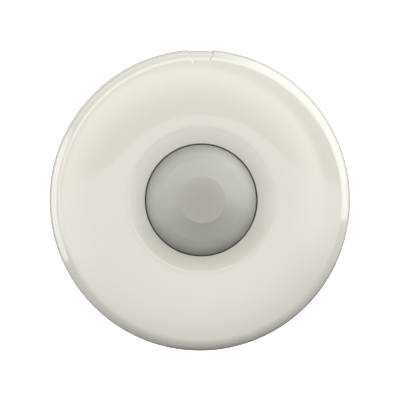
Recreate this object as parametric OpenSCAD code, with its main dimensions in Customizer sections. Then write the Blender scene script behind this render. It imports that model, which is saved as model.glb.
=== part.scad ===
// Ceiling motion detector: a round two-part case that opens on a bottom hinge,
// a stepped dome lens, and the alarm electronics on one round board.
// Origin at the middle of the rear mounting face, +Z out through the lens,
// +Y towards the release notch, millimetres.

/* [Cover] */
// Width across the round cover
cover_d = 120; // [116:1:150]
// Height of the cover's highest ring above the mounting face
crown_z = 25; // [24:0.5:32]
// Thickness of the cover's wall
cover_wall = 2.2; // [1.8:0.1:2.6]
// Gap under the cover's skirt, so that it clears an uneven ceiling
skirt_gap = 1.2; // [1:0.1:1.5]
// Rounding between the skirt and the face
rim_round = 5.6; // [5:0.1:8]
// Radius of the gentle bow of the face
crown_bow = 132; // [120:1:200]
// Width of the flat land between the dish and the fall to the rim
crown_land = 3.6; // [2:0.1:5]

/* [Dish and lens] */
// Width of the hole that the lens stands in
opening_d = 44.6; // [36:0.1:46]
// Width of the sloping collar round the lens
dish_w = 6.8; // [5.6:0.1:7.4]
// Depth of the collar below the crown
dish_drop = 0.6; // [0.4:0.1:1.4]
// Thickness of the cover where the lens flange seats behind it
seat_t = 2.1; // [1.8:0.1:2.2]
// Gap all round between the lens and its hole
lens_gap = 0.45; // [0.2:0.05:0.6]
// Thickness of the lens
lens_wall = 0.9; // [0.6:0.1:1.2]
// Height of the lens's shoulder above the edge of its hole
shoulder_rise = 4.4; // [3.8:0.1:5]
// Slope of the lens's middle zone in degrees
middle_slope = 22; // [16:1:26]
// Bow of the lens's inner zone
inner_bow = 0.4; // [0.3:0.1:0.8]
// Width of the lens's outer zone, seen from the front
outer_zone_w = 5.5; // [4:0.1:6]
// Width of the lens's middle zone, seen from the front
middle_zone_w = 7.3; // [5:0.1:7.5]
// Width of the flange behind the cover
flange_w = 2.8; // [2.4:0.1:3.4]
// Thickness of the flange
flange_t = 0.9; // [0.7:0.1:1]
// Thickness of the ring that holds the lens
retainer_t = 1.5; // [1.2:0.1:1.6]

/* [Rear housing] */
// Gap between the housing's wall and the cover's skirt
skirt_clearance = 1.3; // [1.2:0.1:1.6]
// Thickness of the housing's wall
housing_wall = 1.8; // [1.6:0.1:2.2]
// Thickness of the housing's floor
floor_t = 2.2; // [2:0.1:2.6]
// Height of the housing's wall
housing_h = 11; // [10.6:0.1:12]
// Distance between the two slots for an electrical box
slot_spacing = 84; // [82:0.5:88]
// End-to-end length of each slot
slot_l = 9; // [7:0.5:10]
// Width of each slot
slot_w = 4.4; // [4:0.1:4.8]
// Distance between the two round fixing holes
hole_spacing = 84; // [82:0.5:88]
// Width of each round fixing hole
hole_d = 4.5; // [4:0.1:5]
// Width of the cable entry
entry_d = 10; // [8:0.5:11]
// Angle of the cable entry, from +X
entry_angle = 304; // [298:1:310]

/* [Hinge and latch] */
// Radius of the bead that the cover turns on
bead_r = 1.4; // [1.3:0.05:1.5]
// Height of the hinge axis
hinge_z = 2.8; // [2.75:0.05:3.2]
// Length of the hinge bead
bead_l = 11; // [9:0.5:12]
// Clearance round the hinge bead
bead_gap = 0.1; // [0.05:0.01:0.12]
// Width of the release tongue
latch_w = 8; // [7:0.5:9]
// Thickness of the release tongue
latch_t = 1.5; // [1.3:0.1:1.7]
// Height of the underside of the tongue's nose
nose_z = 8.6; // [8.4:0.1:8.8]
// Width of the mark that shows where to press, at the rim
notch_w = 10; // [8:0.5:12]
// Width of the same mark at its inner end
notch_tip_w = 6; // [4:0.5:7]
// Depth of the mark
notch_depth = 0.5; // [0.3:0.05:0.7]

/* [Circuit board] */
// Width of the round board
board_d = 72; // [68:1:87]
// Thickness of the board
board_t = 1.6; // [1.2:0.1:1.8]
// Room under the board for its solder joints
board_gap = 2.8; // [2.4:0.1:3.2]
// How far the flat edge cuts into the round board
flat_cut = 6; // [5:0.5:7]
// Number of wire terminals
terminal_count = 8; // [6:1:8]
// Distance between two terminals
terminal_pitch = 5; // [4.8:0.02:5.08]
// Height of the terminal block
terminal_h = 8.4; // [7.5:0.1:8.6]
// Depth of the terminal block
terminal_depth = 8; // [7:0.1:8.4]
// Width of the sensor can
can_d = 8.3; // [8:0.1:9]
// Height of the sensor can
can_h = 4.2; // [4:0.1:5]
// Travel of the tamper plunger
tamper_travel = 1.5; // [1:0.1:1.6]
// Height of the tamper plunger's tip above the board, pressed
tamper_h = 8.4; // [7:0.1:8.6]
// Number of option switches
option_count = 3; // [3:1:3]
// Distance between two option switches
option_pitch = 2.54; // [2.4:0.01:2.6]
// Travel of an option slider
option_travel = 1.8; // [1.5:0.1:2]

/* [Hidden] */
$fn = 96;
eps = 0.01;

// Cover, from the rim inwards
cover_r = cover_d / 2;
skirt_in_r = cover_r - cover_wall;
opening_r = opening_d / 2;
dish_r = opening_r + dish_w;
crown_r = dish_r + crown_land;
crown_cz = crown_z - crown_bow;
rim_cr = cover_r - rim_round;
rim_slope = asin((rim_cr - crown_r) / (crown_bow - rim_round));
rim_cz = crown_cz + (crown_bow - rim_round) * cos(rim_slope);
edge_z = crown_z - dish_drop;
seat_z = edge_z - seat_t;
land_in_slope = asin((crown_r - dish_r) / crown_bow);
dish_z = crown_cz + crown_bow * cos(land_in_slope);
under_crown_z = crown_z - cover_wall;

// Lens and what holds it
seat_gap = 0.1;
lens_r = opening_r - lens_gap;
flange_r = lens_r + flange_w;
flange_top_z = seat_z - seat_gap;
flange_z = flange_top_z - flange_t;
middle_zone_r = lens_r - outer_zone_w;
inner_zone_r = middle_zone_r - middle_zone_w;
shoulder_z = edge_z + shoulder_rise;
inner_zone_z = shoulder_z + middle_zone_w * tan(middle_slope);
retainer_top_z = flange_z - seat_gap;
retainer_z = retainer_top_z - retainer_t;
retainer_in_r = lens_r - lens_wall + 0.3;
ear_r = 3;
ear_at_r = dish_r + 1;
retainer_out_r = ear_at_r - 1.6;
ear_angles = [45, 165, 285];
retainer_head_r = 2;
retainer_head_h = 1.5;
retainer_shank_r = 0.8;
retainer_shank_l = 3.6;

// Rear housing
housing_r = skirt_in_r - skirt_clearance;
housing_in_r = housing_r - housing_wall;
fixing_boss_r = 4.5;
fixing_boss_h = 1;
entry_collar_w = 1.5;
entry_collar_h = 1.2;

// Board and where it sits
board_r = board_d / 2;
board_z = floor_t + board_gap;
board_top = board_z + board_t;
board_flat_y = -(board_r - flat_cut);
entry_at_r = (board_r + housing_in_r) / 2 - 2;
entry_at = [entry_at_r * cos(entry_angle), entry_at_r * sin(entry_angle)];
post_r = 2.7;
post_at_r = board_r - 5;
post_angles = [35, 145, 207, 333];
board_hole_r = 1.6;
board_shank_r = 1;
board_pilot_r = 1.05;
board_head_r = 2.6;
board_head_h = 1.8;
board_shank_l = 5;

// Hinge
hinge_y = -skirt_in_r;
saddle_w = bead_l + 3;
saddle_front_y = hinge_y + 0.8;
saddle_relief_y = hinge_y + bead_r + bead_gap + 0.05;
saddle_top_z = hinge_z + bead_r + 2;

// Latch, which bends at its root
latch_front_y = housing_r - 1;
latch_back_y = latch_front_y - latch_t;
latch_root_y = latch_front_y - latch_t / 2;
latch_root_z = floor_t + seat_gap + latch_t / 2;
latch_window_w = latch_w + 3.2;
nose_reach = 1.7;
nose_h = 1.8;
latch_top_z = nose_z + nose_h + 1.6;
catch_w = latch_w + 1.2;
catch_h = 1.4;
catch_gap = 0.2;
catch_tip_y = latch_front_y + 0.7;
blade_slot_w = 6;
blade_slot_h = 1.6;

// Terminal block
block_w = terminal_count * terminal_pitch + 0.6;
block_front_y = board_flat_y + 2;
block_back_y = block_front_y + terminal_depth;
block_top_z = board_top + terminal_h;
well_y = block_front_y + 4.6;
well_r = 1.9;
screw_shank_r = 0.85;
well_z = block_top_z - 2.6;
mouth_w = 3;
mouth_h = 3.2;
mouth_z = board_top + 1.4;
mouth_depth = 6.2;

// Sensor and lamp
header_r = can_d / 2 + 0.45;
header_t = 0.4;
header_z = board_top + 0.6;
can_top_z = header_z + can_h;
can_wall = 0.3;
window_l = 4.6;
window_w = 3.4;
window_t = 0.4;
lead_r = 0.23;
lead_hole_r = 0.4;
lead_below = 1.4;
sensor_lead_r = 2.54;
sensor_lead_angles = [45, 135, 270];
gasket_r = 7;
led_y = 11;
led_r = 1.5;
led_z = board_top + 2;
led_h = 4.4;
led_lead_x = 1.27;

// Relay, tamper switch, option switch
relay_size = [7.6, 12.7, 6.4];
relay_at = [17, block_back_y + 1 + 12.7 / 2];
relay_pin_r = 0.3;
tamper_y = board_r - 5;
tamper_size = [6, 6, tamper_travel + 2];
plunger_r = 1.7;
plunger_gap = 0.1;
plunger_z = board_top + 0.5;
tamper_tip_z = board_top + tamper_h;
press_boss_r = 2.5;
press_gap = 0.1;
option_at = [15, 14];
option_size = [option_count * option_pitch + 2.4, 6.2, 3.4];
option_well_w = 1.5;
option_well_h = 1.2;
slider_gap = 0.15;
slider_l = 1.4;
slider_proud = 0.7;

// Small surface parts: where each one is, and its turn
micro_at = [-13, 14];
micro_size = [8.7, 3.9, 1.5];
micro_pins = 7;
amplifier_at = [-13, -4];
amplifier_size = [4.9, 3.9, 1.5];
amplifier_pin_count = 4;
chip_pitch = 1.27;
chip_pin_reach = 1.05;
chip_pin_w = 0.42;
chip_pin_t = 0.2;
chip_pin_z = 0.75;
chip_lift = 0.12;
regulator_at = [-13, -12];
regulator_size = [4.5, 2.5, 1.5];
capacitor_at = [[-23, 5], [-24, -4.5], [22.5, 5]];
capacitor_r = 3.15;
capacitor_h = 6.6;
capacitor_base_w = 6.6;
capacitor_base_h = 1;
diode_at = [[25, -4.2, 90], [9, -14, 0]];
diode_size = [4.3, 2.6, 2.1];
resistor_size = [1.6, 0.8, 0.45];
resistor_at = [
    [-19, 18, 0], [-15, 19, 0], [-11, 19, 0], [-7, 20, 90], [-6, 7, 90], [-19, 9, 0],
    [-8, -8, 0], [-19, -9, 90], [-3, -11, 0], [2, -11, 0], [7, 5, 90], [7, 9, 90],
    [9, 22, 0], [13, 22, 0], [24, 11, 90], [8, -5, 90]
];
chip_capacitor_size = [2, 1.25, 0.9];
chip_capacitor_at = [
    [-13, 9, 0], [-18, 0, 90], [-8, 1, 90], [-7, -14, 0], [-19, -14, 90],
    [9, 1, 90], [22, 23, 30], [-20, 22, 150], [3, -15, 0]
];

// Colours of the real pieces
cover_colour = "#e4e0d3";
lens_colour = "#b2afa8";
housing_colour = "#dedacd";
board_colour = "#2f6b45";
steel_colour = "#b9bcbf";
black_colour = "#222326";
tin_colour = "#c9c9c4";

// Points of an arc in a profile, turning from one angle to another
function arc(cx, cy, r, from, to, steps) =
    [for (i = [0:steps]) let (a = from + (to - from) * i / steps) [cx + r * cos(a), cy + r * sin(a)]];

// Points of a smooth bend from a to c that leans towards b
function bend(a, b, c, steps) =
    [for (i = [0:steps]) let (t = i / steps) (1 - t) * (1 - t) * a + 2 * t * (1 - t) * b + t * t * c];

function reversed(points) = [for (i = [len(points) - 1:-1:0]) points[i]];

// Puts copies at equal distances from the axis
module around(angles, r) {
    for (a = angles) {
        rotate([0, 0, a]) translate([r, 0, 0]) children();
    }
}

// A block that stands on its own middle
module block(size, at, z) {
    translate([at[0] - size[0] / 2, at[1] - size[1] / 2, z]) cube(size);
}

// Cross recess of a small screw, cut downwards from z = 0
module cross_recess(r, depth) {
    for (a = [0, 90]) {
        rotate([0, 0, a]) block([r * 1.2, r * 0.28, depth + eps], [0, 0], -depth);
    }
}

// ---------------------------------------------------------------- case

module fixing_slot(h) {
    linear_extrude(h) {
        straight = slot_l - slot_w;
        translate([-straight / 2, -slot_w / 2]) square([straight, slot_w]);
        translate([-straight / 2, 0]) circle(d = slot_w);
        translate([straight / 2, 0]) circle(d = slot_w);
    }
}

module hinge_saddle() {
    depth = housing_in_r + saddle_front_y;
    translate([-saddle_w / 2, saddle_front_y, 0]) {
        cube([saddle_w, -depth + housing_wall, saddle_top_z]);
    }
}

module rear_housing() {
    cut = floor_t + fixing_boss_h + 2;
    color(housing_colour) difference() {
        union() {
            rotate_extrude() polygon([
                [0, 0], [housing_r - 0.5, 0], [housing_r, 0.5], [housing_r, housing_h - 0.4],
                [housing_r - 0.4, housing_h], [housing_in_r + 0.3, housing_h],
                [housing_in_r, housing_h - 0.4], [housing_in_r, floor_t], [0, floor_t]
            ]);
            around([0, 180], slot_spacing / 2) {
                cylinder(r = fixing_boss_r + 1.5, h = floor_t + fixing_boss_h);
            }
            around([90, 270], hole_spacing / 2) {
                cylinder(r = fixing_boss_r, h = floor_t + fixing_boss_h);
            }
            translate([entry_at[0], entry_at[1], 0]) {
                cylinder(r = entry_d / 2 + entry_collar_w, h = floor_t + entry_collar_h);
            }
            around(post_angles, post_at_r) cylinder(r = post_r, h = board_z);
            hinge_saddle();
        }
        around([0, 180], slot_spacing / 2) translate([0, 0, -1]) fixing_slot(cut);
        around([90, 270], hole_spacing / 2) translate([0, 0, -1]) cylinder(d = hole_d, h = cut);
        translate([entry_at[0], entry_at[1], -1]) cylinder(d = entry_d, h = cut + entry_collar_h);
        around(post_angles, post_at_r) {
            translate([0, 0, board_z - board_shank_l + 1]) cylinder(r = board_pilot_r, h = board_shank_l);
        }
        translate([-latch_window_w / 2, housing_in_r - 3, floor_t]) {
            cube([latch_window_w, housing_wall + 6, housing_h]);
        }
        translate([-saddle_w / 2 - 1, hinge_y, hinge_z]) rotate([0, 90, 0]) {
            cylinder(r = bead_r + bead_gap, h = saddle_w + 2);
        }
        translate([-saddle_w / 2 - 1, hinge_y - 2, -1]) {
            cube([saddle_w + 2, saddle_relief_y - hinge_y + 2, hinge_z + 1]);
        }
    }
}

module release_latch() {
    color(housing_colour) translate([-latch_w / 2, 0, 0]) rotate([90, 0, 90]) linear_extrude(latch_w) {
        union() {
            translate([latch_root_y, latch_root_z]) circle(d = latch_t);
            polygon([
                [latch_back_y, latch_root_z], [latch_front_y, latch_root_z], [latch_front_y, nose_z],
                [latch_front_y + nose_reach, nose_z], [latch_front_y + nose_reach, nose_z + 0.9],
                [latch_front_y, nose_z + nose_h], [latch_front_y - 0.2, latch_top_z],
                [latch_back_y + 0.2, latch_top_z]
            ]);
        }
    }
}

function cover_face() = concat(
    [[cover_r - 0.4, skirt_gap], [cover_r, skirt_gap + 0.4]],
    arc(rim_cr, rim_cz, rim_round, 0, 90 - rim_slope, 9),
    arc(crown_r, crown_cz, crown_bow, 90 - rim_slope + 1.2, 90 + land_in_slope, 9),
    bend([dish_r, dish_z], [opening_r + dish_w * 0.5, edge_z + dish_drop * 0.38], [opening_r + 0.3, edge_z], 6)
);

function cover_back() = concat(
    [[opening_r, edge_z - 0.3], [opening_r, seat_z], [flange_r + 0.3, seat_z]],
    [[dish_r + 0.6, under_crown_z]],
    arc(crown_r, crown_cz, crown_bow - cover_wall, 90, 90 - rim_slope, 6),
    arc(rim_cr, rim_cz, rim_round - cover_wall, 80 - rim_slope, 0, 5),
    [[skirt_in_r, skirt_gap]]
);

// Thin band just under the skin of the rim, down to the blade slot
function rim_band() = concat(
    [[cover_r - notch_depth, nose_z], [cover_r + 1, nose_z]],
    arc(rim_cr, rim_cz, rim_round + 1, 0, 90, 6),
    arc(rim_cr, rim_cz, rim_round - notch_depth, 90, 0, 9)
);

module release_notch() {
    intersection() {
        rotate_extrude() polygon(rim_band());
        linear_extrude(crown_z + 2) polygon([
            [-notch_tip_w / 2, rim_cr + 0.1], [notch_tip_w / 2, rim_cr + 0.1],
            [notch_w / 2, cover_r - 2.1], [notch_w / 2, cover_r + 2],
            [-notch_w / 2, cover_r + 2], [-notch_w / 2, cover_r - 2.1]
        ]);
    }
}

module front_cover() {
    boss_z = retainer_top_z + seat_gap;
    color(cover_colour) difference() {
        union() {
            rotate_extrude() polygon(concat(cover_face(), cover_back()));
            around(ear_angles, ear_at_r) {
                translate([0, 0, boss_z]) cylinder(r = 2.4, h = under_crown_z - boss_z + 1);
            }
            translate([0, tamper_y, tamper_tip_z + press_gap]) {
                cylinder(r = press_boss_r, h = under_crown_z - tamper_tip_z - press_gap + 1);
            }
            translate([-catch_w / 2, catch_tip_y, nose_z - catch_gap - catch_h]) {
                cube([catch_w, skirt_in_r + cover_wall / 2 - catch_tip_y, catch_h]);
            }
            translate([-bead_l / 2, hinge_y, hinge_z]) rotate([0, 90, 0]) cylinder(r = bead_r, h = bead_l);
        }
        around(ear_angles, ear_at_r) {
            translate([0, 0, boss_z - 1]) cylinder(r = retainer_shank_r + 0.05, h = retainer_shank_l - 0.3);
        }
        translate([-blade_slot_w / 2, catch_tip_y, nose_z + 0.2]) {
            cube([blade_slot_w, cover_wall + 5, blade_slot_h]);
        }
        release_notch();
    }
}

// ---------------------------------------------------------------- lens

// Profile of the lens from its hole up over the shoulder and the two inner zones, or inside it
function lens_skin(inset) = let (
    r = lens_r - inset,
    z = shoulder_z - inset,
    top_z = inner_zone_z - inset,
    bow_r = (inner_zone_r * inner_zone_r + inner_bow * inner_bow) / (2 * inner_bow)
) concat(
    bend([r, edge_z - inset], [r - 0.1, z - (r - middle_zone_r) * 0.54], [middle_zone_r, z], 9),
    arc(0, top_z + inner_bow - bow_r, bow_r, acos(inner_zone_r / bow_r), 90, 4)
);

module dome_lens() {
    color(lens_colour) rotate_extrude() polygon(concat(
        [[flange_r, flange_z], [flange_r, flange_top_z], [lens_r, flange_top_z]],
        lens_skin(0), reversed(lens_skin(lens_wall)), [[lens_r - lens_wall, flange_z]]
    ));
}

module lens_retainer() {
    color(black_colour) difference() {
        union() {
            translate([0, 0, retainer_z]) cylinder(r = retainer_out_r, h = retainer_t);
            around(ear_angles, ear_at_r) translate([0, 0, retainer_z]) cylinder(r = ear_r, h = retainer_t);
        }
        translate([0, 0, retainer_z - 1]) cylinder(r = retainer_in_r, h = retainer_t + 2);
        around(ear_angles, ear_at_r) {
            translate([0, 0, retainer_z - 1]) cylinder(r = 1.3, h = retainer_t + 2);
        }
    }
}

module retainer_screws() {
    head_z = retainer_z - retainer_head_h;
    color(steel_colour) around(ear_angles, ear_at_r) difference() {
        union() {
            translate([0, 0, head_z]) cylinder(r = retainer_head_r, h = retainer_head_h);
            translate([0, 0, retainer_z - eps]) cylinder(r = retainer_shank_r, h = retainer_shank_l);
        }
        translate([0, 0, head_z]) mirror([0, 0, 1]) cross_recess(retainer_head_r, 0.8);
    }
}

// ---------------------------------------------------------------- board

function terminal_x(i) = (i - (terminal_count - 1) / 2) * terminal_pitch;

module lead_holes() {
    around(sensor_lead_angles, sensor_lead_r) cylinder(r = lead_hole_r, h = 20);
    for (x = [-led_lead_x, led_lead_x]) {
        translate([x, led_y, 0]) cylinder(r = lead_hole_r, h = 20);
    }
    for (i = [0:terminal_count - 1]) {
        translate([terminal_x(i), well_y, 0]) cylinder(r = 0.65, h = 20);
    }
    relay_pin_places() cylinder(r = relay_pin_r + 0.15, h = 20);
}

module circuit_board() {
    color(board_colour) difference() {
        translate([0, 0, board_z]) cylinder(r = board_r, h = board_t);
        translate([-board_r, board_flat_y - board_r, 0]) cube([board_d, board_r, 20]);
        around(post_angles, post_at_r) cylinder(r = board_hole_r, h = 20);
        lead_holes();
    }
}

module board_screws() {
    color(steel_colour) around(post_angles, post_at_r) difference() {
        union() {
            translate([0, 0, board_top]) cylinder(r = board_head_r, h = board_head_h);
            translate([0, 0, board_top - board_shank_l]) {
                cylinder(r = board_shank_r, h = board_shank_l + eps);
            }
        }
        translate([0, 0, board_top + board_head_h]) cross_recess(board_head_r, 1);
    }
}

module sensor_header() {
    color(steel_colour) difference() {
        translate([0, 0, header_z]) cylinder(r = header_r, h = header_t);
        around(sensor_lead_angles, sensor_lead_r) cylinder(r = lead_hole_r, h = 20);
    }
}

module sensor_can() {
    can_z = header_z + header_t;
    inner_h = can_top_z - can_wall - can_z;
    color(steel_colour) difference() {
        translate([0, 0, can_z]) cylinder(d = can_d, h = can_top_z - can_z);
        translate([0, 0, can_z - 1]) cylinder(d = can_d - 2 * can_wall, h = inner_h + 1);
        block([window_l, window_w, 2], [0, 0], can_top_z - 1);
    }
}

module sensor_window() {
    z = can_top_z - can_wall - window_t;
    color("#3a3440") block([window_l + 0.6, window_w + 0.6, window_t], [0, 0], z);
}

module sensor_leads() {
    from_z = board_z - lead_below;
    color(tin_colour) around(sensor_lead_angles, sensor_lead_r) {
        translate([0, 0, from_z]) cylinder(r = lead_r, h = header_z + 1.2 - from_z);
    }
}

module sensor_gasket() {
    color("#3c3c3e") difference() {
        translate([0, 0, board_top]) cylinder(r = gasket_r, h = 2.2);
        translate([0, 0, board_top - 1]) cylinder(r = header_r + 0.1, h = 5);
    }
}

module terminal_block() {
    color("#2f7d57") difference() {
        translate([-block_w / 2, block_front_y, board_top]) {
            rotate([90, 0, 90]) linear_extrude(block_w) polygon([
                [0, 0], [terminal_depth, 0], [terminal_depth, terminal_h - 1.2],
                [terminal_depth - 1.2, terminal_h], [2.2, terminal_h], [0, terminal_h - 2.4]
            ]);
        }
        for (i = [0:terminal_count - 1]) {
            translate([terminal_x(i), well_y, well_z]) cylinder(r = well_r, h = 5);
            translate([terminal_x(i) - mouth_w / 2, block_front_y - 1, mouth_z]) {
                cube([mouth_w, mouth_depth + 1, mouth_h]);
            }
            translate([terminal_x(i), well_y, board_top - 1]) cylinder(r = 0.65, h = 4);
            translate([terminal_x(i), well_y, mouth_z + 1]) {
                cylinder(r = screw_shank_r + 0.15, h = mouth_h + 2);
            }
        }
    }
}

module terminal_screws() {
    tip_z = mouth_z + mouth_h;
    color(steel_colour) for (i = [0:terminal_count - 1]) {
        translate([terminal_x(i), well_y, 0]) difference() {
            union() {
                translate([0, 0, well_z]) cylinder(r = well_r - 0.15, h = 1.6);
                translate([0, 0, tip_z]) cylinder(r = screw_shank_r, h = well_z - tip_z + eps);
            }
            block([2 * well_r, 0.5, 1], [0, 0], well_z + 0.9);
        }
    }
}

module terminal_clamps() {
    clamp_w = mouth_w - 0.2;
    clamp_h = mouth_h - 0.2;
    clamp_l = 3.6;
    color(tin_colour) for (i = [0:terminal_count - 1]) {
        translate([terminal_x(i), well_y - 0.4, mouth_z + 0.1]) difference() {
            block([clamp_w, clamp_l, clamp_h], [0, 0], 0);
            block([clamp_w - 0.9, clamp_l + 1, clamp_h - 0.9], [0, 0], 0.45);
        }
        translate([terminal_x(i), well_y, board_z - lead_below]) {
            cylinder(r = 0.5, h = mouth_z + 0.2 - board_z + lead_below);
        }
    }
}

module relay_pin_places() {
    for (x = [-1, 1]) {
        for (y = [-1, 1]) {
            translate([relay_at[0] + x * 2.54, relay_at[1] + y * 5.08, 0]) children();
        }
    }
}

module alarm_relay() {
    w = relay_size[0];
    h = relay_size[2];
    color("#e8e6de") translate([relay_at[0] - w / 2, relay_at[1] + relay_size[1] / 2, board_top + 0.3]) {
        rotate([90, 0, 0]) linear_extrude(relay_size[1]) polygon([
            [0, 0], [w, 0], [w, h - 0.5], [w - 0.5, h], [0.5, h], [0, h - 0.5]
        ]);
    }
}

module relay_pins() {
    color(tin_colour) relay_pin_places() {
        translate([0, 0, board_z - lead_below]) cylinder(r = relay_pin_r, h = board_t + lead_below + 0.3);
    }
}

module tamper_switch() {
    color(black_colour) difference() {
        block(tamper_size, [0, tamper_y], board_top);
        translate([0, tamper_y, plunger_z - plunger_gap]) {
            cylinder(r = plunger_r + plunger_gap, h = tamper_size[2]);
        }
    }
}

module tamper_plunger() {
    color("#c8452f") translate([0, tamper_y, plunger_z]) {
        cylinder(r = plunger_r, h = tamper_tip_z - plunger_z);
    }
}

module walk_test_led() {
    color("#b3352c") translate([0, led_y, led_z]) {
        rotate_extrude() polygon(concat(
            [[0, 0], [led_r + 0.4, 0], [led_r + 0.4, 0.7], [led_r, 0.7]],
            arc(0, led_h - led_r, led_r, 0, 90, 8)
        ));
    }
}

module led_leads() {
    color(tin_colour) for (x = [-led_lead_x, led_lead_x]) {
        translate([x, led_y, board_z - lead_below]) cylinder(r = lead_r, h = led_z - board_z + lead_below);
    }
}

// Moulded body of a surface-mounted chip, with sloping sides
module chip_body(size, at) {
    z = board_top + chip_lift;
    color(black_colour) translate([at[0] - size[0] / 2, at[1], z]) {
        rotate([90, 0, 90]) linear_extrude(size[0]) polygon([
            [-size[1] / 2 + 0.15, 0], [size[1] / 2 - 0.15, 0], [size[1] / 2, chip_pin_z],
            [size[1] / 2 - 0.15, size[2]], [-size[1] / 2 + 0.15, size[2]], [-size[1] / 2, chip_pin_z]
        ]);
    }
}

// Gull-wing pins along both sides of a chip
module chip_pins(size, at, count) {
    out = size[1] / 2;
    color(tin_colour) for (side = [0, 180]) {
        for (i = [0:count - 1]) {
            translate([at[0], at[1], board_top]) rotate([0, 0, side]) {
                translate([(i - (count - 1) / 2) * chip_pitch - chip_pin_w / 2, 0, 0]) {
                    rotate([90, 0, 90]) linear_extrude(chip_pin_w) polygon([
                        [out + 0.02, chip_pin_z + chip_pin_t / 2], [out + 0.4, chip_pin_z + chip_pin_t / 2],
                        [out + 0.6, chip_pin_t], [out + chip_pin_reach, chip_pin_t],
                        [out + chip_pin_reach, 0], [out + 0.42, 0],
                        [out + 0.25, chip_pin_z - chip_pin_t / 2], [out + 0.02, chip_pin_z - chip_pin_t / 2]
                    ]);
                }
            }
        }
    }
}

module voltage_regulator() {
    tab_y = regulator_size[1] / 2 + 0.5;
    color(black_colour) block(regulator_size, regulator_at, board_top);
    color(tin_colour) block([1.7, 1, 0.4], regulator_at + [0, tab_y], board_top);
    for (i = [-1:1]) {
        color(tin_colour) block([0.5, 1, 0.4], regulator_at + [i * 1.5, -tab_y], board_top);
    }
}

module storage_capacitors() {
    color("#c4c6c9") for (at = capacitor_at) {
        translate([at[0], at[1], board_top + capacitor_base_h]) rotate_extrude() polygon([
            [0, 0], [capacitor_r, 0], [capacitor_r, 0.8], [capacitor_r - 0.25, 1.1],
            [capacitor_r, 1.4], [capacitor_r, capacitor_h - 0.4], [capacitor_r - 0.4, capacitor_h],
            [0, capacitor_h]
        ]);
    }
}

module capacitor_bases() {
    w = capacitor_base_w / 2;
    color(black_colour) for (at = capacitor_at) {
        translate([at[0], at[1], board_top]) linear_extrude(capacitor_base_h) polygon([
            [-w, -w], [w - 1.2, -w], [w, -w + 1.2], [w, w - 1.2], [w - 1.2, w], [-w, w]
        ]);
    }
}

// Small parts that lie flat on the board
module flat_parts(size, places) {
    for (p = places) {
        translate([p[0], p[1], board_top]) rotate([0, 0, p[2]]) block(size, [0, 0], 0);
    }
}

module chip_resistors() {
    color("#1d1e22") flat_parts(resistor_size, resistor_at);
}

module chip_capacitors() {
    color("#b79a6b") flat_parts(chip_capacitor_size, chip_capacitor_at);
}

module protection_diodes() {
    color("#2a2b2e") flat_parts(diode_size, diode_at);
}

function option_x(i) = option_at[0] + (i - (option_count - 1) / 2) * option_pitch;
option_well_l = slider_l + option_travel + 2 * slider_gap;
option_well_z = board_top + option_size[2] - option_well_h;

module option_switch() {
    color("#b5322c") difference() {
        block(option_size, option_at, board_top);
        for (i = [0:option_count - 1]) {
            block([option_well_w, option_well_l, 3], [option_x(i), option_at[1]], option_well_z);
        }
    }
}

module option_slider(i) {
    size = [option_well_w - 2 * slider_gap, slider_l, option_well_h - slider_gap + slider_proud];
    y = option_at[1] - option_well_l / 2 + slider_gap + slider_l / 2;
    color("#f1efe8") block(size, [option_x(i), y], option_well_z + slider_gap);
}

rear_housing();
release_latch();
circuit_board();
board_screws();
sensor_header();
sensor_can();
sensor_window();
sensor_leads();
sensor_gasket();
terminal_block();
terminal_screws();
terminal_clamps();
alarm_relay();
relay_pins();
tamper_switch();
tamper_plunger();
walk_test_led();
led_leads();
chip_body(micro_size, micro_at);  // microcontroller
chip_pins(micro_size, micro_at, micro_pins);  // microcontroller_pins
chip_body(amplifier_size, amplifier_at);  // signal_amplifier
union() {  // amplifier_pins
    chip_pins(amplifier_size, amplifier_at, amplifier_pin_count);
}
voltage_regulator();
storage_capacitors();
capacitor_bases();
chip_resistors();
chip_capacitors();
protection_diodes();
option_switch();
option_slider(0);  // option_slider_1
option_slider(1);  // option_slider_2
option_slider(2);  // option_slider_3
front_cover();
dome_lens();
lens_retainer();
retainer_screws();
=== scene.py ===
"""Looks of a round ceiling motion detector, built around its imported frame.

Every length in a field named in millimetres is turned to metres by MM where a mesh is made. The
detector lies on its mounting face, with the lens axis along +Z and the release notch at +Y.
"""

import logging
import math
from dataclasses import asdict, dataclass, field
from enum import Enum
from typing import Any, Iterable, Optional, Sequence, Union

import bmesh
import bpy
from mathutils import Matrix, Vector

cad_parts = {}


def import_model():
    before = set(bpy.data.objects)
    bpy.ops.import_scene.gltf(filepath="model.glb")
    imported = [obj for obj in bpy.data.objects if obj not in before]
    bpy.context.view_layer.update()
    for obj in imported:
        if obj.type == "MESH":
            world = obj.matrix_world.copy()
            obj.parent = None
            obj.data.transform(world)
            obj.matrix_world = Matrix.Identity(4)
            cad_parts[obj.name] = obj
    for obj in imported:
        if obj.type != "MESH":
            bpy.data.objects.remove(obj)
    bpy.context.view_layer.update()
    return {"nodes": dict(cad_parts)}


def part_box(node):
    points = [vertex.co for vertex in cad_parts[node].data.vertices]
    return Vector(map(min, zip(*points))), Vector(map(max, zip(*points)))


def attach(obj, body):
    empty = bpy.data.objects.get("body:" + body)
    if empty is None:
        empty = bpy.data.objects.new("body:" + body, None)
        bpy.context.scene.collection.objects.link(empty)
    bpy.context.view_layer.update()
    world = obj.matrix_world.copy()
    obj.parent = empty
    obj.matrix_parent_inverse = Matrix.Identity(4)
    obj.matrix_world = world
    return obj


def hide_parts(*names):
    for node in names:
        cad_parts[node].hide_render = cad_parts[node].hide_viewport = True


LOG = logging.getLogger("detector")

MM = 0.001
# Points of a frame node nearer than this, in metres, are one corner.
WELD = 1e-6
# Edges that turn more than this stay sharp.
SHARP_DEG = 32.0
# A turned profile ends this near the axis, in millimetres.
AXIS_R = 0.0005
# Nearly all values of a noise cloud lie between these two.
CLOUD = (0.3, 0.7)

Rgba = tuple[float, float, float, float]
Point = tuple[float, float]


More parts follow.
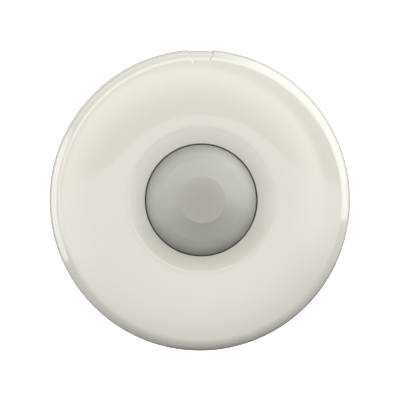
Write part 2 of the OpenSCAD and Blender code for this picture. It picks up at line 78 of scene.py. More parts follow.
class Body(Enum):
    """The bodies that the rebuilt pieces ride on."""

    HOUSING = "housing"
    COVER = "cover"


# ------------------------------------------------------------------ colour and shader nodes


def hex_to_linear(code: str) -> Rgba:
    """Turns an sRGB colour into linear light.

    Args:
        code: The colour as "#rrggbb".

    Returns:
        Red, green, blue and an alpha of 1.
    """
    parts = [int(code[i:i + 2], 16) / 255 for i in (1, 3, 5)]
    linear = [c / 12.92 if c <= 0.04045 else ((c + 0.055) / 1.055) ** 2.4 for c in parts]
    return (linear[0], linear[1], linear[2], 1.0)


def dimmed(colour: Rgba, share: float) -> Rgba:
    """Multiplies the light of a colour."""
    return (colour[0] * share, colour[1] * share, colour[2] * share, 1.0)


def add_node(
    tree: bpy.types.NodeTree,
    kind: str,
    settings: Optional[dict[str, Any]] = None,
    inputs: Optional[dict[Union[str, int], Any]] = None,
) -> bpy.types.Node:
    """Adds a shader node with its settings and its links.

    Args:
        tree: The node tree it goes into.
        kind: The node's type name.
        settings: Attributes of the node.
        inputs: Socket by name or number; an output socket is linked, anything else is set.

    Returns:
        The new node.
    """
    node = tree.nodes.new(kind)
    for key, value in (settings or {}).items():
        setattr(node, key, value)
    for key, value in (inputs or {}).items():
        if isinstance(value, bpy.types.NodeSocket):
            tree.links.new(value, node.inputs[key])
        else:
            node.inputs[key].default_value = value
    return node


# ------------------------------------------------------------------ finishes


@dataclass(frozen=True)
class Finish:
    """What every finish has; each kind adds its own surface detail in dress().

    Scales are in millimetres of the real surface. tree_settings are further inputs of the shader.
    """

    name: str
    colour: str
    roughness: float
    ior: float = 1.5
    metallic: float = 0.0
    coat: float = 0.0
    coat_roughness: float = 0.05
    tree_settings: tuple[tuple[str, Any], ...] = ()

    def material(self) -> bpy.types.Material:
        """Makes the material, or gives the one already made.

        Returns:
            The material with its shader and its surface detail.
        """
        made = bpy.data.materials.get(self.name)
        if made:
            return made
        made = bpy.data.materials.new(self.name)
        made.use_nodes = True
        made.diffuse_color = hex_to_linear(self.colour)
        tree = made.node_tree
        tree.nodes.clear()
        shader = add_node(tree, "ShaderNodeBsdfPrincipled", None, {
            "Base Color": hex_to_linear(self.colour), "Roughness": self.roughness, "IOR": self.ior,
            "Metallic": self.metallic, "Coat Weight": self.coat,
            "Coat Roughness": self.coat_roughness, **dict(self.tree_settings),
        })
        add_node(tree, "ShaderNodeOutputMaterial", None, {"Surface": shader.outputs["BSDF"]})
        place = add_node(tree, "ShaderNodeTexCoord")
        self.dress(tree, place.outputs["Object"], shader)
        return made

    def dress(self, tree: bpy.types.NodeTree, place: bpy.types.NodeSocket,
              shader: bpy.types.Node) -> None:
        """Adds the surface detail; a plain finish has none."""


@dataclass(frozen=True)
class MouldedPlastic(Finish):
    """Injection-moulded plastic: the grain of its steel tool and a faint shading from the flow.

    A spark-eroded tool leaves grains of about 0.05 mm. They are drawn a few times coarser, which
    is as fine as shows on a detector of this size.
    """

    grain_mm: float = 0.5
    grain_depth_mm: float = 0.01
    waviness_mm: float = 14.0
    waviness_depth_mm: float = 0.0
    mottle: float = 0.03
    mottle_mm: float = 9.0
    shine_spread: float = 0.06
    least_roughness: float = 0.02

    def dress(self, tree: bpy.types.NodeTree, place: bpy.types.NodeSocket,
              shader: bpy.types.Node) -> None:
        """Adds grain, slow waviness, uneven shine and a faint mottle.

        Args:
            tree: The material's nodes.
            place: Position on the piece, in metres.
            shader: The shader that the detail feeds.
        """
        cloud = add_node(tree, "ShaderNodeTexNoise", None, {
            "Vector": place, "Scale": 1 / (self.mottle_mm * MM), "Detail": 3.0})
        pale = hex_to_linear(self.colour)
        tone = add_node(tree, "ShaderNodeMix", {"data_type": "RGBA"}, {
            "Factor": cloud.outputs[0], 6: dimmed(pale, 1 - 2 * self.mottle), 7: pale})
        tree.links.new(tone.outputs[2], shader.inputs["Base Color"])
        shine = add_node(tree, "ShaderNodeMapRange", None, {
            "Value": cloud.outputs[0], "From Min": CLOUD[0], "From Max": CLOUD[1],
            "To Min": max(self.roughness - self.shine_spread, self.least_roughness),
            "To Max": self.roughness + self.shine_spread})
        tree.links.new(shine.outputs[0], shader.inputs["Roughness"])
        grain = add_node(tree, "ShaderNodeTexNoise", None, {
            "Vector": place, "Scale": 1 / (self.grain_mm * MM), "Detail": 2.0})
        relief = add_node(tree, "ShaderNodeBump", None, {
            "Height": grain.outputs[0], "Distance": self.grain_depth_mm * MM, "Strength": 1.0})
        if self.waviness_depth_mm:
            wave = add_node(tree, "ShaderNodeTexNoise", None, {
                "Vector": place, "Scale": 1 / (self.waviness_mm * MM), "Detail": 0.0})
            relief = add_node(tree, "ShaderNodeBump", None, {
                "Height": wave.outputs[0], "Distance": self.waviness_depth_mm * MM,
                "Strength": 1.0, "Normal": relief.outputs[0]})
        tree.links.new(relief.outputs[0], shader.inputs["Normal"])


@dataclass(frozen=True)
class CoverPlastic(MouldedPlastic):
    """Cover plastic with painted shade on the collar round the lens, where the dome shades it."""

    painted_shade_r_mm: tuple[float, float] = (22.0, 31.0)
    painted_shade_share: float = 0.74

    def dress(self, tree: bpy.types.NodeTree, place: bpy.types.NodeSocket,
              shader: bpy.types.Node) -> None:
        """Adds the moulded surface, then paints shade on the collar, darker towards the hole.

        Args:
            tree: The material's nodes.
            place: Position on the piece, in metres.
            shader: The shader that the detail feeds.
        """
        super().dress(tree, place, shader)
        flat = add_node(tree, "ShaderNodeVectorMath", {"operation": "MULTIPLY"}, {
            0: place, 1: (1.0, 1.0, 0.0)})
        radius = add_node(tree, "ShaderNodeVectorMath", {"operation": "LENGTH"}, {
            0: flat.outputs[0]})
        # Painted shade: the base colour darkens from the collar in to the hole, where the dome
        # shades it.
        painted_collar_shade = add_node(tree, "ShaderNodeMapRange", None, {
            "Value": radius.outputs["Value"], "From Min": self.painted_shade_r_mm[0] * MM,
            "From Max": self.painted_shade_r_mm[1] * MM, "To Min": self.painted_shade_share, "To Max": 1.0})
        tone = shader.inputs["Base Color"].links[0].from_socket
        shaded = add_node(tree, "ShaderNodeMix", {"data_type": "RGBA", "blend_type": "MULTIPLY"}, {
            "Factor": 1.0, 6: tone, 7: painted_collar_shade.outputs[0]})
        tree.links.new(shaded.outputs[2], shader.inputs["Base Color"])


@dataclass(frozen=True)
class MarkedChip(MouldedPlastic):
    """Moulded chip epoxy with the round dimple that marks the first pin."""

    dimple_mm: tuple[float, float, float] = (0.0, 0.0, 0.0)
    dimple_r_mm: float = 0.35
    dimple_depth_mm: float = 0.1
    dimple_roughness: float = 0.2

    def dress(self, tree: bpy.types.NodeTree, place: bpy.types.NodeSocket,
              shader: bpy.types.Node) -> None:
        """Adds the moulded grain, then the polished dimple.

        Args:
            tree: The material's nodes.
            place: Position on the piece, in metres.
            shader: The shader that the detail feeds.
        """
        super().dress(tree, place, shader)
        centre = tuple(c * MM for c in self.dimple_mm)
        away = add_node(tree, "ShaderNodeVectorMath", {"operation": "DISTANCE"}, {
            0: place, 1: centre})
        inside = add_node(tree, "ShaderNodeMath", {"operation": "LESS_THAN"}, {
            0: away.outputs["Value"], 1: self.dimple_r_mm * MM})
        rough = shader.inputs["Roughness"].links[0].from_socket
        shine = add_node(tree, "ShaderNodeMix", None, {
            "Factor": inside.outputs[0], 2: rough, 3: self.dimple_roughness})
        tree.links.new(shine.outputs[0], shader.inputs["Roughness"])
        relief = shader.inputs["Normal"].links[0].from_node
        dent = add_node(tree, "ShaderNodeBump", {"invert": True}, {
            "Height": inside.outputs[0], "Distance": self.dimple_depth_mm * MM,
            "Strength": 1.0, "Normal": relief.outputs[0]})
        tree.links.new(dent.outputs[0], shader.inputs["Normal"])


@dataclass(frozen=True)
class FrostedLens(Finish):
    """Infrared lens: milky polyethylene moulding, matt enough to blur what stands behind it.

    Its tool's fine grain is drawn a few times coarser than the real 0.05 mm so that it shows.
    """

    haze_mm: float = 6.0
    haze_shade: float = 0.96
    shaded_centre_colour: str = "#97968f"
    shaded_centre_r_mm: float = 16.5
    shoulder_shade_r_mm: tuple[float, float] = (17.6, 22.4)
    shoulder_painted_shade: float = 0.66
    grain_mm: float = 0.35
    grain_depth_mm: float = 0.006

    def dress(self, tree: bpy.types.NodeTree, place: bpy.types.NodeSocket,
              shader: bpy.types.Node) -> None:
        """Adds painted shade, a darker middle for the dark inside behind the lens and a darker
        shoulder, and a fine haze.

        Args:
            tree: The material's nodes.
            place: Position on the piece, in metres.
            shader: The shader that the detail feeds.
        """
        flat = add_node(tree, "ShaderNodeVectorMath", {"operation": "MULTIPLY"}, {
            0: place, 1: (1.0, 1.0, 0.0)})
        radius = add_node(tree, "ShaderNodeVectorMath", {"operation": "LENGTH"}, {
            0: flat.outputs[0]})
        # Painted shade: the middle is darker, for the dark inside seen through the lens.
        outwards = add_node(tree, "ShaderNodeMapRange", {"interpolation_type": "SMOOTHSTEP"}, {
            "Value": radius.outputs["Value"], "From Min": 0.0, "From Max": self.shaded_centre_r_mm * MM})
        tone = add_node(tree, "ShaderNodeMix", {"data_type": "RGBA"}, {
            "Factor": outwards.outputs[0], 6: hex_to_linear(self.shaded_centre_colour),
            7: hex_to_linear(self.colour)})
        cloud = add_node(tree, "ShaderNodeTexNoise", None, {
            "Vector": place, "Scale": 1 / (self.haze_mm * MM), "Detail": 4.0})
        haze = add_node(tree, "ShaderNodeMapRange", None, {
            "Value": cloud.outputs[0], "From Min": CLOUD[0], "From Max": CLOUD[1],
            "To Min": self.haze_shade, "To Max": 1.0})
        cloudy = add_node(tree, "ShaderNodeMix", {"data_type": "RGBA", "blend_type": "MULTIPLY"}, {
            "Factor": 1.0, 6: tone.outputs[2], 7: haze.outputs[0]})
        # Painted shade: the steep shoulder darkens outwards, where less light falls on it.
        edge = add_node(tree, "ShaderNodeMapRange", {"interpolation_type": "SMOOTHSTEP"}, {
            "Value": radius.outputs["Value"], "From Min": self.shoulder_shade_r_mm[0] * MM,
            "From Max": self.shoulder_shade_r_mm[1] * MM, "To Min": 1.0, "To Max": self.shoulder_painted_shade})
        shaded = add_node(tree, "ShaderNodeMix", {"data_type": "RGBA", "blend_type": "MULTIPLY"}, {
            "Factor": 1.0, 6: cloudy.outputs[2], 7: edge.outputs[0]})
        tree.links.new(shaded.outputs[2], shader.inputs["Base Color"])
        grain = add_node(tree, "ShaderNodeTexNoise", None, {
            "Vector": place, "Scale": 1 / (self.grain_mm * MM), "Detail": 2.0})
        relief = add_node(tree, "ShaderNodeBump", None, {
            "Height": grain.outputs[0], "Distance": self.grain_depth_mm * MM, "Strength": 1.0})
        tree.links.new(relief.outputs[0], shader.inputs["Normal"])


@dataclass(frozen=True)
class PlatedMetal(Finish):
    """Plated or drawn metal: bright, with fine rubbing marks and slightly duller patches.

    Real rubbing marks are a few hundredths of a millimetre wide and are drawn coarser to show.
    """

    metallic: float = 1.0
    rub_mm: float = 0.12
    rub_stretch: float = 9.0
    rub_depth_mm: float = 0.004
    patch_mm: float = 1.6
    patch_spread: tuple[float, float] = (0.35, 0.65)
    patch_shade: float = 0.86
    dull: float = 0.14

    def dress(self, tree: bpy.types.NodeTree, place: bpy.types.NodeSocket,
              shader: bpy.types.Node) -> None:
        """Adds the rubbing marks and the patches.

        Args:
            tree: The material's nodes.
            place: Position on the piece, in metres.
            shader: The shader that the detail feeds.
        """
        stretched = add_node(tree, "ShaderNodeMapping", None, {
            "Vector": place, "Scale": (1 / self.rub_stretch, 1.0, 1.0)})
        rub = add_node(tree, "ShaderNodeTexNoise", None, {
            "Vector": stretched.outputs[0], "Scale": 1 / (self.rub_mm * MM), "Detail": 2.0})
        patch = add_node(tree, "ShaderNodeTexNoise", None, {
            "Vector": place, "Scale": 1 / (self.patch_mm * MM), "Detail": 3.0})
        shine = add_node(tree, "ShaderNodeMapRange", None, {
            "Value": patch.outputs[0], "From Min": self.patch_spread[0],
            "From Max": self.patch_spread[1], "To Min": self.roughness,
            "To Max": self.roughness + self.dull})
        tree.links.new(shine.outputs[0], shader.inputs["Roughness"])
        bright = hex_to_linear(self.colour)
        tone = add_node(tree, "ShaderNodeMix", {"data_type": "RGBA"}, {
            "Factor": patch.outputs[0], 6: dimmed(bright, self.patch_shade), 7: bright})
        tree.links.new(tone.outputs[2], shader.inputs["Base Color"])
        relief = add_node(tree, "ShaderNodeBump", None, {
            "Height": rub.outputs[0], "Distance": self.rub_depth_mm * MM, "Strength": 1.0})
        tree.links.new(relief.outputs[0], shader.inputs["Normal"])


@dataclass(frozen=True)
class BoardLaminate(Finish):
    """Glass-epoxy board under green solder resist, with copper tracks that show as paler lines.

    Tracks of such a board lie about 1 mm apart and are drawn at 2.2 mm, so that they show as
    lines. The glass cloth keeps the 0.6 mm of its real threads.
    """

    track_colour: str = "#4b9a6a"
    core_colour: str = "#b9a86a"
    track_mm: float = 2.2
    track_w: float = 0.1
    bundle_mm: float = 9.0
    courses: int = 4
    bare_share: float = 0.45
    level_from: float = 0.7
    weave_mm: float = 0.6
    relief_mm: float = 0.03

    def dress(self, tree: bpy.types.NodeTree, place: bpy.types.NodeSocket,
              shader: bpy.types.Node) -> None:
        """Adds the tracks, the ground copper between them and the bare routed edge.

        Args:
            tree: The material's nodes.
            place: Position on the piece, in metres.
            shader: The shader that the detail feeds.
        """
        # Tracks run straight in bundles and change course where the cells of a coarse grid meet.
        cells = add_node(tree, "ShaderNodeTexVoronoi", {
            "feature": "F1", "distance": "MANHATTAN"}, {
            "Vector": place, "Scale": 1 / (self.bundle_mm * MM), "Randomness": 0.9})
        lean = add_node(tree, "ShaderNodeSeparateColor", None, {0: cells.outputs["Color"]})
        turn = add_node(tree, "ShaderNodeMath", {"operation": "SNAP"}, {
            0: lean.outputs[0], 1: 1 / self.courses})
        angle = add_node(tree, "ShaderNodeMath", {"operation": "MULTIPLY"}, {
            0: turn.outputs[0], 1: math.pi})
        course = add_node(tree, "ShaderNodeVectorRotate", {"rotation_type": "Z_AXIS"}, {
            "Vector": place, "Angle": angle.outputs[0]})
        split = add_node(tree, "ShaderNodeSeparateXYZ", None, {0: course.outputs[0]})
        lane = add_node(tree, "ShaderNodeMath", {"operation": "PINGPONG"}, {
            0: split.outputs["X"], 1: self.track_mm * MM / 2})
        track = add_node(tree, "ShaderNodeMath", {"operation": "LESS_THAN"}, {
            0: lane.outputs[0], 1: self.track_mm * MM * self.track_w})
        busy = add_node(tree, "ShaderNodeMath", {"operation": "GREATER_THAN"}, {
            0: lean.outputs[1], 1: self.bare_share})
        copper = add_node(tree, "ShaderNodeMath", {"operation": "MULTIPLY"}, {
            0: track.outputs[0], 1: busy.outputs[0]})
        resist = add_node(tree, "ShaderNodeMix", {"data_type": "RGBA"}, {
            "Factor": copper.outputs[0], 6: hex_to_linear(self.colour),
            7: hex_to_linear(self.track_colour)})
        facing = add_node(tree, "ShaderNodeNewGeometry")
        upright = add_node(tree, "ShaderNodeSeparateXYZ", None, {0: facing.outputs["True Normal"]})
        level = add_node(tree, "ShaderNodeMath", {"operation": "ABSOLUTE"}, {
            0: upright.outputs["Z"]})
        face = add_node(tree, "ShaderNodeMath", {"operation": "GREATER_THAN"}, {
            0: level.outputs[0], 1: self.level_from})
        tone = add_node(tree, "ShaderNodeMix", {"data_type": "RGBA"}, {
            "Factor": face.outputs[0], 6: hex_to_linear(self.core_colour), 7: resist.outputs[2]})
        tree.links.new(tone.outputs[2], shader.inputs["Base Color"])
        weave = add_node(tree, "ShaderNodeTexNoise", None, {
            "Vector": place, "Scale": 1 / (self.weave_mm * MM), "Detail": 2.0})
        height = add_node(tree, "ShaderNodeMath", {"operation": "MULTIPLY_ADD"}, {
            0: copper.outputs[0], 1: 1.0, 2: weave.outputs[0]})
        relief = add_node(tree, "ShaderNodeBump", None, {
            "Height": height.outputs[0], "Distance": self.relief_mm * MM, "Strength": 1.0})
        tree.links.new(relief.outputs[0], shader.inputs["Normal"])


@dataclass(frozen=True)
class CellFoam(Finish):
    """Closed-cell rubber foam: dull, with small open cells where it was cut."""

    cell_mm: float = 0.45
    cell_depth_mm: float = 0.12
    painted_pit_shade: float = 0.45

    def dress(self, tree: bpy.types.NodeTree, place: bpy.types.NodeSocket,
              shader: bpy.types.Node) -> None:
        """Adds the cells, with painted shade in their pits.

        Args:
            tree: The material's nodes.
            place: Position on the piece, in metres.
            shader: The shader that the detail feeds.
        """
        cells = add_node(tree, "ShaderNodeTexVoronoi", None, {
            "Vector": place, "Scale": 1 / (self.cell_mm * MM)})
        pale = hex_to_linear(self.colour)
        # Painted shade: the pits at the cells' middles are darkened in the base colour.
        tone = add_node(tree, "ShaderNodeMix", {"data_type": "RGBA"}, {
            "Factor": cells.outputs["Distance"], 6: dimmed(pale, self.painted_pit_shade), 7: pale})
        tree.links.new(tone.outputs[2], shader.inputs["Base Color"])
        relief = add_node(tree, "ShaderNodeBump", None, {
            "Height": cells.outputs["Distance"], "Distance": self.cell_depth_mm * MM,
            "Strength": 1.0})
        tree.links.new(relief.outputs[0], shader.inputs["Normal"])


# High-gloss ABS from a polished tool: clear reflections over a warm white body, which bend a
# little with the slow waves that shrinkage leaves.
COVER_ABS = CoverPlastic(
    "polished_tool_moulded_abs", "#bebdb5", 0.1, 1.53, coat=1.0, coat_roughness=0.02,
    grain_mm=1.2, grain_depth_mm=0.0004, waviness_mm=22.0, waviness_depth_mm=0.004, mottle=0.004,
    mottle_mm=30.0, shine_spread=0.02, tree_settings=(("Coat IOR", 1.6),))
# ABS from a spark-eroded tool: even satin that scatters the light.
HOUSING_ABS = MouldedPlastic(
    "spark_eroded_tool_moulded_abs", "#d3d0c4", 0.48, 1.53, grain_mm=0.28, grain_depth_mm=0.018,
    mottle=0.02)
# Thin milky polyethylene: a soft, spread-out sheen over grey.
LENS_POLYETHYLENE = FrostedLens(
    "frosted_moulded_polyethylene", "#a1a19b", 0.36, 1.53,
    tree_settings=(("Subsurface Weight", 0.5), ("Subsurface Radius", (1.0, 1.0, 1.0)),
                   ("Subsurface Scale", 0.002)))
# Glass-filled nylon: near black with a dry, slightly fibrous face.
RETAINER_NYLON = MouldedPlastic(
    "moulded_glass_filled_nylon", "#242528", 0.52, 1.53, grain_mm=0.4, grain_depth_mm=0.02,
    mottle=0.12, mottle_mm=2.0)
BOARD = BoardLaminate("solder_resist_on_glass_epoxy", "#1f5a38", 0.28, 1.52, coat=0.4)
# Zinc plating over steel: cool, clear, with rubbed patches.
SCREW_STEEL = PlatedMetal("zinc_plated_steel", "#b8bcc0", 0.24)
# Nickel plating over a drawn can: smooth and mirror-like.
CAN_STEEL = PlatedMetal("nickel_plated_drawn_steel", "#c4c2bc", 0.16, patch_mm=2.4, dull=0.08)
# Dipped tin: soft bright metal.
TIN = PlatedMetal("dipped_tin_plate", "#cdcdc8", 0.3, patch_mm=0.8)
# Deep-drawn aluminium: pale, with fine marks round the can.
ALUMINIUM = PlatedMetal("deep_drawn_aluminium", "#cfd1d3", 0.3, rub_mm=0.08, patch_mm=2.0)
# Coated silicon: dark with a violet-brown gleam.
FILTER = MouldedPlastic(
    "vacuum_coated_silicon", "#3a3340", 0.12, 2.2, grain_mm=0.5, grain_depth_mm=0.0008,
    mottle=0.15, mottle_mm=1.5, shine_spread=0.03)
# Closed-cell neoprene: dull dark grey, pitted where the cells were cut.
FOAM = CellFoam("die_cut_neoprene_foam", "#3e3f42", 0.9)
# Nylon, moulded and coloured through: even green with a soft sheen.
TERMINAL_NYLON = MouldedPlastic(
    "moulded_nylon_terminal_green", "#2d7a55", 0.42, 1.53, grain_mm=0.35, grain_depth_mm=0.01,
    mottle=0.05, mottle_mm=3.0)
# Polyester case from a smooth tool: cream, with a dense, china-like sheen.
RELAY_PBT = MouldedPlastic(
    "moulded_polyester_relay_case", "#e2dfd4", 0.38, 1.57, grain_mm=0.3, grain_depth_mm=0.008,
    mottle=0.02, mottle_mm=4.0)
# Polyester with glass fibre: near black, a little dry.
SWITCH_PBT = MouldedPlastic(
    "moulded_polyester_switch_case", "#25262a", 0.45, 1.57, grain_mm=0.3, grain_depth_mm=0.01,
    mottle=0.1, mottle_mm=2.0)
# Acetal: orange-red with the waxy sheen of a sliding part.
PLUNGER_ACETAL = MouldedPlastic(
    "moulded_acetal_plunger", "#c2452f", 0.34, 1.48, grain_mm=0.4, grain_depth_mm=0.006,
    mottle=0.04, mottle_mm=2.0)
# Nylon, coloured through: dense red under a soft sheen.
OPTION_NYLON = MouldedPlastic(
    "moulded_nylon_option_red", "#ab2f29", 0.4, 1.53, grain_mm=0.3, grain_depth_mm=0.008,
    mottle=0.05, mottle_mm=2.0)
# Natural acetal: milky white and waxy.
SLIDER_ACETAL = MouldedPlastic(
    "moulded_acetal_slider", "#e6e3da", 0.36, 1.48, grain_mm=0.3, grain_depth_mm=0.006,
    mottle=0.03, mottle_mm=1.0)
# Filled epoxy, transfer-moulded: dead black with a fine sandy face.
CHIP_EPOXY = MouldedPlastic(
    "transfer_moulded_epoxy", "#1f2023", 0.58, 1.55, grain_mm=0.16, grain_depth_mm=0.012,
    mottle=0.12, mottle_mm=0.8)
# Heat-proof sulphide plastic: black with a slight sheen, unlike the dead black chips.
BASE_PPS = MouldedPlastic(
    "moulded_capacitor_base", "#1d1e20", 0.5, 1.6, grain_mm=0.3, grain_depth_mm=0.008,
    mottle=0.1, mottle_mm=1.2)
# Baked ink over aluminium: a thin black segment with the metal's smoothness under it.
SLEEVE_INK = MouldedPlastic(
    "polarity_ink_on_aluminium", "#1b1c20", 0.4, 1.5, grain_mm=0.2, grain_depth_mm=0.003,
    mottle=0.1, mottle_mm=0.8)
# Ruthenium glaze over alumina: a black glassy strip.
RESISTOR_GLAZE = MouldedPlastic(
    "fired_resistor_glaze", "#17181c", 0.2, 1.6, grain_mm=0.3, grain_depth_mm=0.006, mottle=0.1,
    mottle_mm=0.5)
# Barium titanate: fired brown, matt.
CAPACITOR_CERAMIC = MouldedPlastic(
    "fired_titanate_ceramic", "#a98a5d", 0.55, 1.8, grain_mm=0.15, grain_depth_mm=0.01,
    mottle=0.12, mottle_mm=0.6)
# Cast diffused epoxy: saturated red that glows a little from inside.
LAMP_EPOXY = MouldedPlastic(
    "cast_diffused_epoxy", "#a82a24", 0.15, 1.54, grain_mm=0.8, grain_depth_mm=0.001, mottle=0.05,
    mottle_mm=1.5, tree_settings=(("Subsurface Weight", 0.3), ("Subsurface Scale", 0.001)))
# Epoxy ink, screen-printed: flat white, slightly uneven.
LEGEND_INK = MouldedPlastic(
    "screen_printed_epoxy_ink", "#dfe2dc", 0.6, 1.5, grain_mm=0.12, grain_depth_mm=0.01,
    mottle=0.08, mottle_mm=0.7)


# ------------------------------------------------------------------ mesh making


def arc(cx: float, cz: float, r: float, start: float, end: float, steps: int) -> list[Point]:
    """Points of an arc in a profile.

    Args:
        cx: Centre, along the radius.
        cz: Centre, along the axis.
        r: Radius of the arc.
        start: First angle in degrees.
        end: Last angle in degrees.
        steps: Number of segments.

    Returns:
        steps + 1 points.
    """
    angles = [math.radians(start + (end - start) * i / steps) for i in range(steps + 1)]
    return [(cx + r * math.cos(a), cz + r * math.sin(a)) for a in angles]


def line(a: Point, b: Point, steps: int) -> list[Point]:
    """Points of a straight run in a profile, both ends included."""
    return [(a[0] + (b[0] - a[0]) * i / steps, a[1] + (b[1] - a[1]) * i / steps)
            for i in range(steps + 1)]


def bend(a: Point, b: Point, c: Point, steps: int) -> list[Point]:
    """Points of a smooth bend from a to c that leans towards b."""
    parts = [i / steps for i in range(steps + 1)]
    return [tuple((1 - t) ** 2 * p + 2 * t * (1 - t) * q + t * t * s for p, q, s in zip(a, b, c))
            for t in parts]


def rounded(points: Sequence[Point], radii: dict[int, float], steps: int = 4) -> list[Point]:
    """Rounds chosen corners of a profile.

    Args:
        points: The profile.
        radii: Setback of the rounding, by the corner's number in points.
        steps: Segments of each rounding.

    Returns:
        The profile with each chosen corner replaced by a bend.
    """
    out: list[Point] = []
    for i, p in enumerate(points):
        if i not in radii:
            out.append(p)
            continue
        ends = []
        for q in (points[i - 1], points[(i + 1) % len(points)]):
            length = math.dist(p, q)
            part = min(radii[i] / length, 0.49)
            ends.append((p[0] + (q[0] - p[0]) * part, p[1] + (q[1] - p[1]) * part))
        out += bend(ends[0], p, ends[1], steps)
    return out


def smoothstep(x: float, low: float, high: float) -> float:
    """Rises smoothly from 0 at low to 1 at high."""
    t = min(max((x - low) / (high - low), 0.0), 1.0)
    return t * t * (3 - 2 * t)


def islands(node: bpy.types.Object) -> list[list[Vector]]:
    """Corner points of each loose part of a node.

    Args:
        node: The frame's object.

    Returns:
        One list of points for each part, the parts in the order of their middles.
    """
    work = bmesh.new()
    work.from_mesh(node.data)
    bmesh.ops.remove_doubles(work, verts=work.verts, dist=WELD)
    seen: set[bmesh.types.BMVert] = set()
    found: list[list[Vector]] = []
    for first in work.verts:
        if first in seen:
            continue
        seen.add(first)
        part, todo = [], [first]
        while todo:
            vert = todo.pop()
            part.append(vert.co.copy())
            for edge in vert.link_edges:
                other = edge.other_vert(vert)
                if other not in seen:
                    seen.add(other)
                    todo.append(other)
        found.append(part)
    work.free()
    key = [(sum(p.x for p in part) / len(part), sum(p.y for p in part) / len(part))
           for part in found]
    order = sorted(range(len(found)), key=lambda i: (round(key[i][0], 5), round(key[i][1], 5)))
    return [found[i] for i in order]


class Form:
    """A piece while its mesh is being made, in metres."""

    def __init__(self, name: str, sharp_deg: float = SHARP_DEG) -> None:
        """Starts an empty form.

        Args:
            name: The piece's name.
            sharp_deg: Edges that turn more than this stay sharp.
        """
        self.name = name
        self.sharp = math.radians(sharp_deg)
        self.mesh = bmesh.new()

    def grid(self, rows: Sequence[Sequence[Vector]], closed: bool, slot: int = 0,
             skip: Optional[set[tuple[int, int]]] = None) -> list[list[bmesh.types.BMVert]]:
        """Lays a sheet of four-sided faces over rows of points.

        Args:
            rows: Points, all rows as long as each other; a row closes on itself.
            closed: Whether the last row joins the first.
            slot: Material slot of the faces.
            skip: Cells to leave open, as row number and place in the row.

        Returns:
            The vertices, as rows.
        """
        verts = [[self.mesh.verts.new(p) for p in row] for row in rows]
        last = len(verts) if closed else len(verts) - 1
        for i in range(last):
            here, there = verts[i], verts[(i + 1) % len(verts)]
            for j in range(len(here)):
                if skip and (i, j) in skip:
                    continue
                k = (j + 1) % len(here)
                self.face([here[j], there[j], there[k], here[k]], slot)
        return verts

    def face(self, verts: Sequence[bmesh.types.BMVert], slot: int = 0) -> None:
        """Adds one face, unless two of its corners are the same.

        Args:
            verts: The corners, in order.
            slot: Material slot of the face.
        """
        if len(set(verts)) == len(verts):
            made = self.mesh.faces.new(verts)
            made.material_index = slot

    def lathe(self, profile: Sequence[Point], at: Point = (0.0, 0.0), turns: int = 96,
              slot: int = 0) -> None:
        """Turns a closed profile round an upright axis.

        Args:
            profile: Radius and height of each point, in millimetres; it runs anticlockwise.
            at: Where the axis stands, in millimetres.
            turns: Number of columns.
            slot: Material slot of the faces.
        """
        rows = []
        for i in range(turns):
            a = 2 * math.pi * i / turns
            rows.append([Vector(((at[0] + r * math.cos(a)) * MM, (at[1] + r * math.sin(a)) * MM,
                                 z * MM)) for r, z in profile])
        self.grid(rows, True, slot)

    def block(self, low: Vector, high: Vector, soft: float, slot: int = 0,
              turn: Optional[Matrix] = None) -> None:
        """Adds a block with rounded edges.

        Args:
            low: Lowest corner, in metres.
            high: Highest corner, in metres.
            soft: Size of the rounding, in metres.
            slot: Material slot of the faces.
            turn: Moves the finished block, if given.
        """
        part = bmesh.new()
        bmesh.ops.create_cube(part, size=1.0)
        middle, size = (low + high) / 2, high - low
        for vert in part.verts:
            vert.co = Vector((vert.co.x * size.x, vert.co.y * size.y, vert.co.z * size.z)) + middle
        bmesh.ops.bevel(part, geom=list(part.edges), offset=soft, segments=2, profile=0.6,
                        affect="EDGES", clamp_overlap=True)
        self.take(part, slot, turn)

    def take(self, part: bmesh.types.BMesh, slot: int, turn: Optional[Matrix]) -> None:
        """Moves a finished part into this form.

        Args:
            part: The part; it is used up.
            slot: Material slot of its faces.
            turn: Moves the part, if given.
        """
        if turn is not None:
            bmesh.ops.transform(part, matrix=turn, verts=part.verts)
        known = {vert: self.mesh.verts.new(vert.co) for vert in part.verts}
        for poly in part.faces:
            self.face([known[v] for v in poly.verts], slot)
        part.free()

    def finish(self, finishes: Sequence[Finish], body: Body, slot: str,
               replaced: Iterable[str] = ()) -> None:
        """Turns the form into a piece on its body.

        Args:
            finishes: One finish for each material slot.
            body: The body that it moves with.
            slot: The record's material slot; it is not used.
            replaced: Frame nodes that it stands for.
        """
        bmesh.ops.remove_doubles(self.mesh, verts=self.mesh.verts, dist=WELD / 4)
        bmesh.ops.recalc_face_normals(self.mesh, faces=self.mesh.faces)
        for poly in self.mesh.faces:
            poly.smooth = True
        for edge in self.mesh.edges:
            edge.smooth = edge.is_manifold and edge.calc_face_angle(0.0) < self.sharp
        data = bpy.data.meshes.new(self.name)
        self.mesh.to_mesh(data)
        self.mesh.free()
        piece = bpy.data.objects.new(self.name, data)
        bpy.context.scene.collection.objects.link(piece)
        for one in finishes:
            data.materials.append(one.material())
        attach(piece, body.value)
        if replaced:
            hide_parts(*replaced)
        LOG.info("%s: %d faces on %s", self.name, len(data.polygons), body.value)


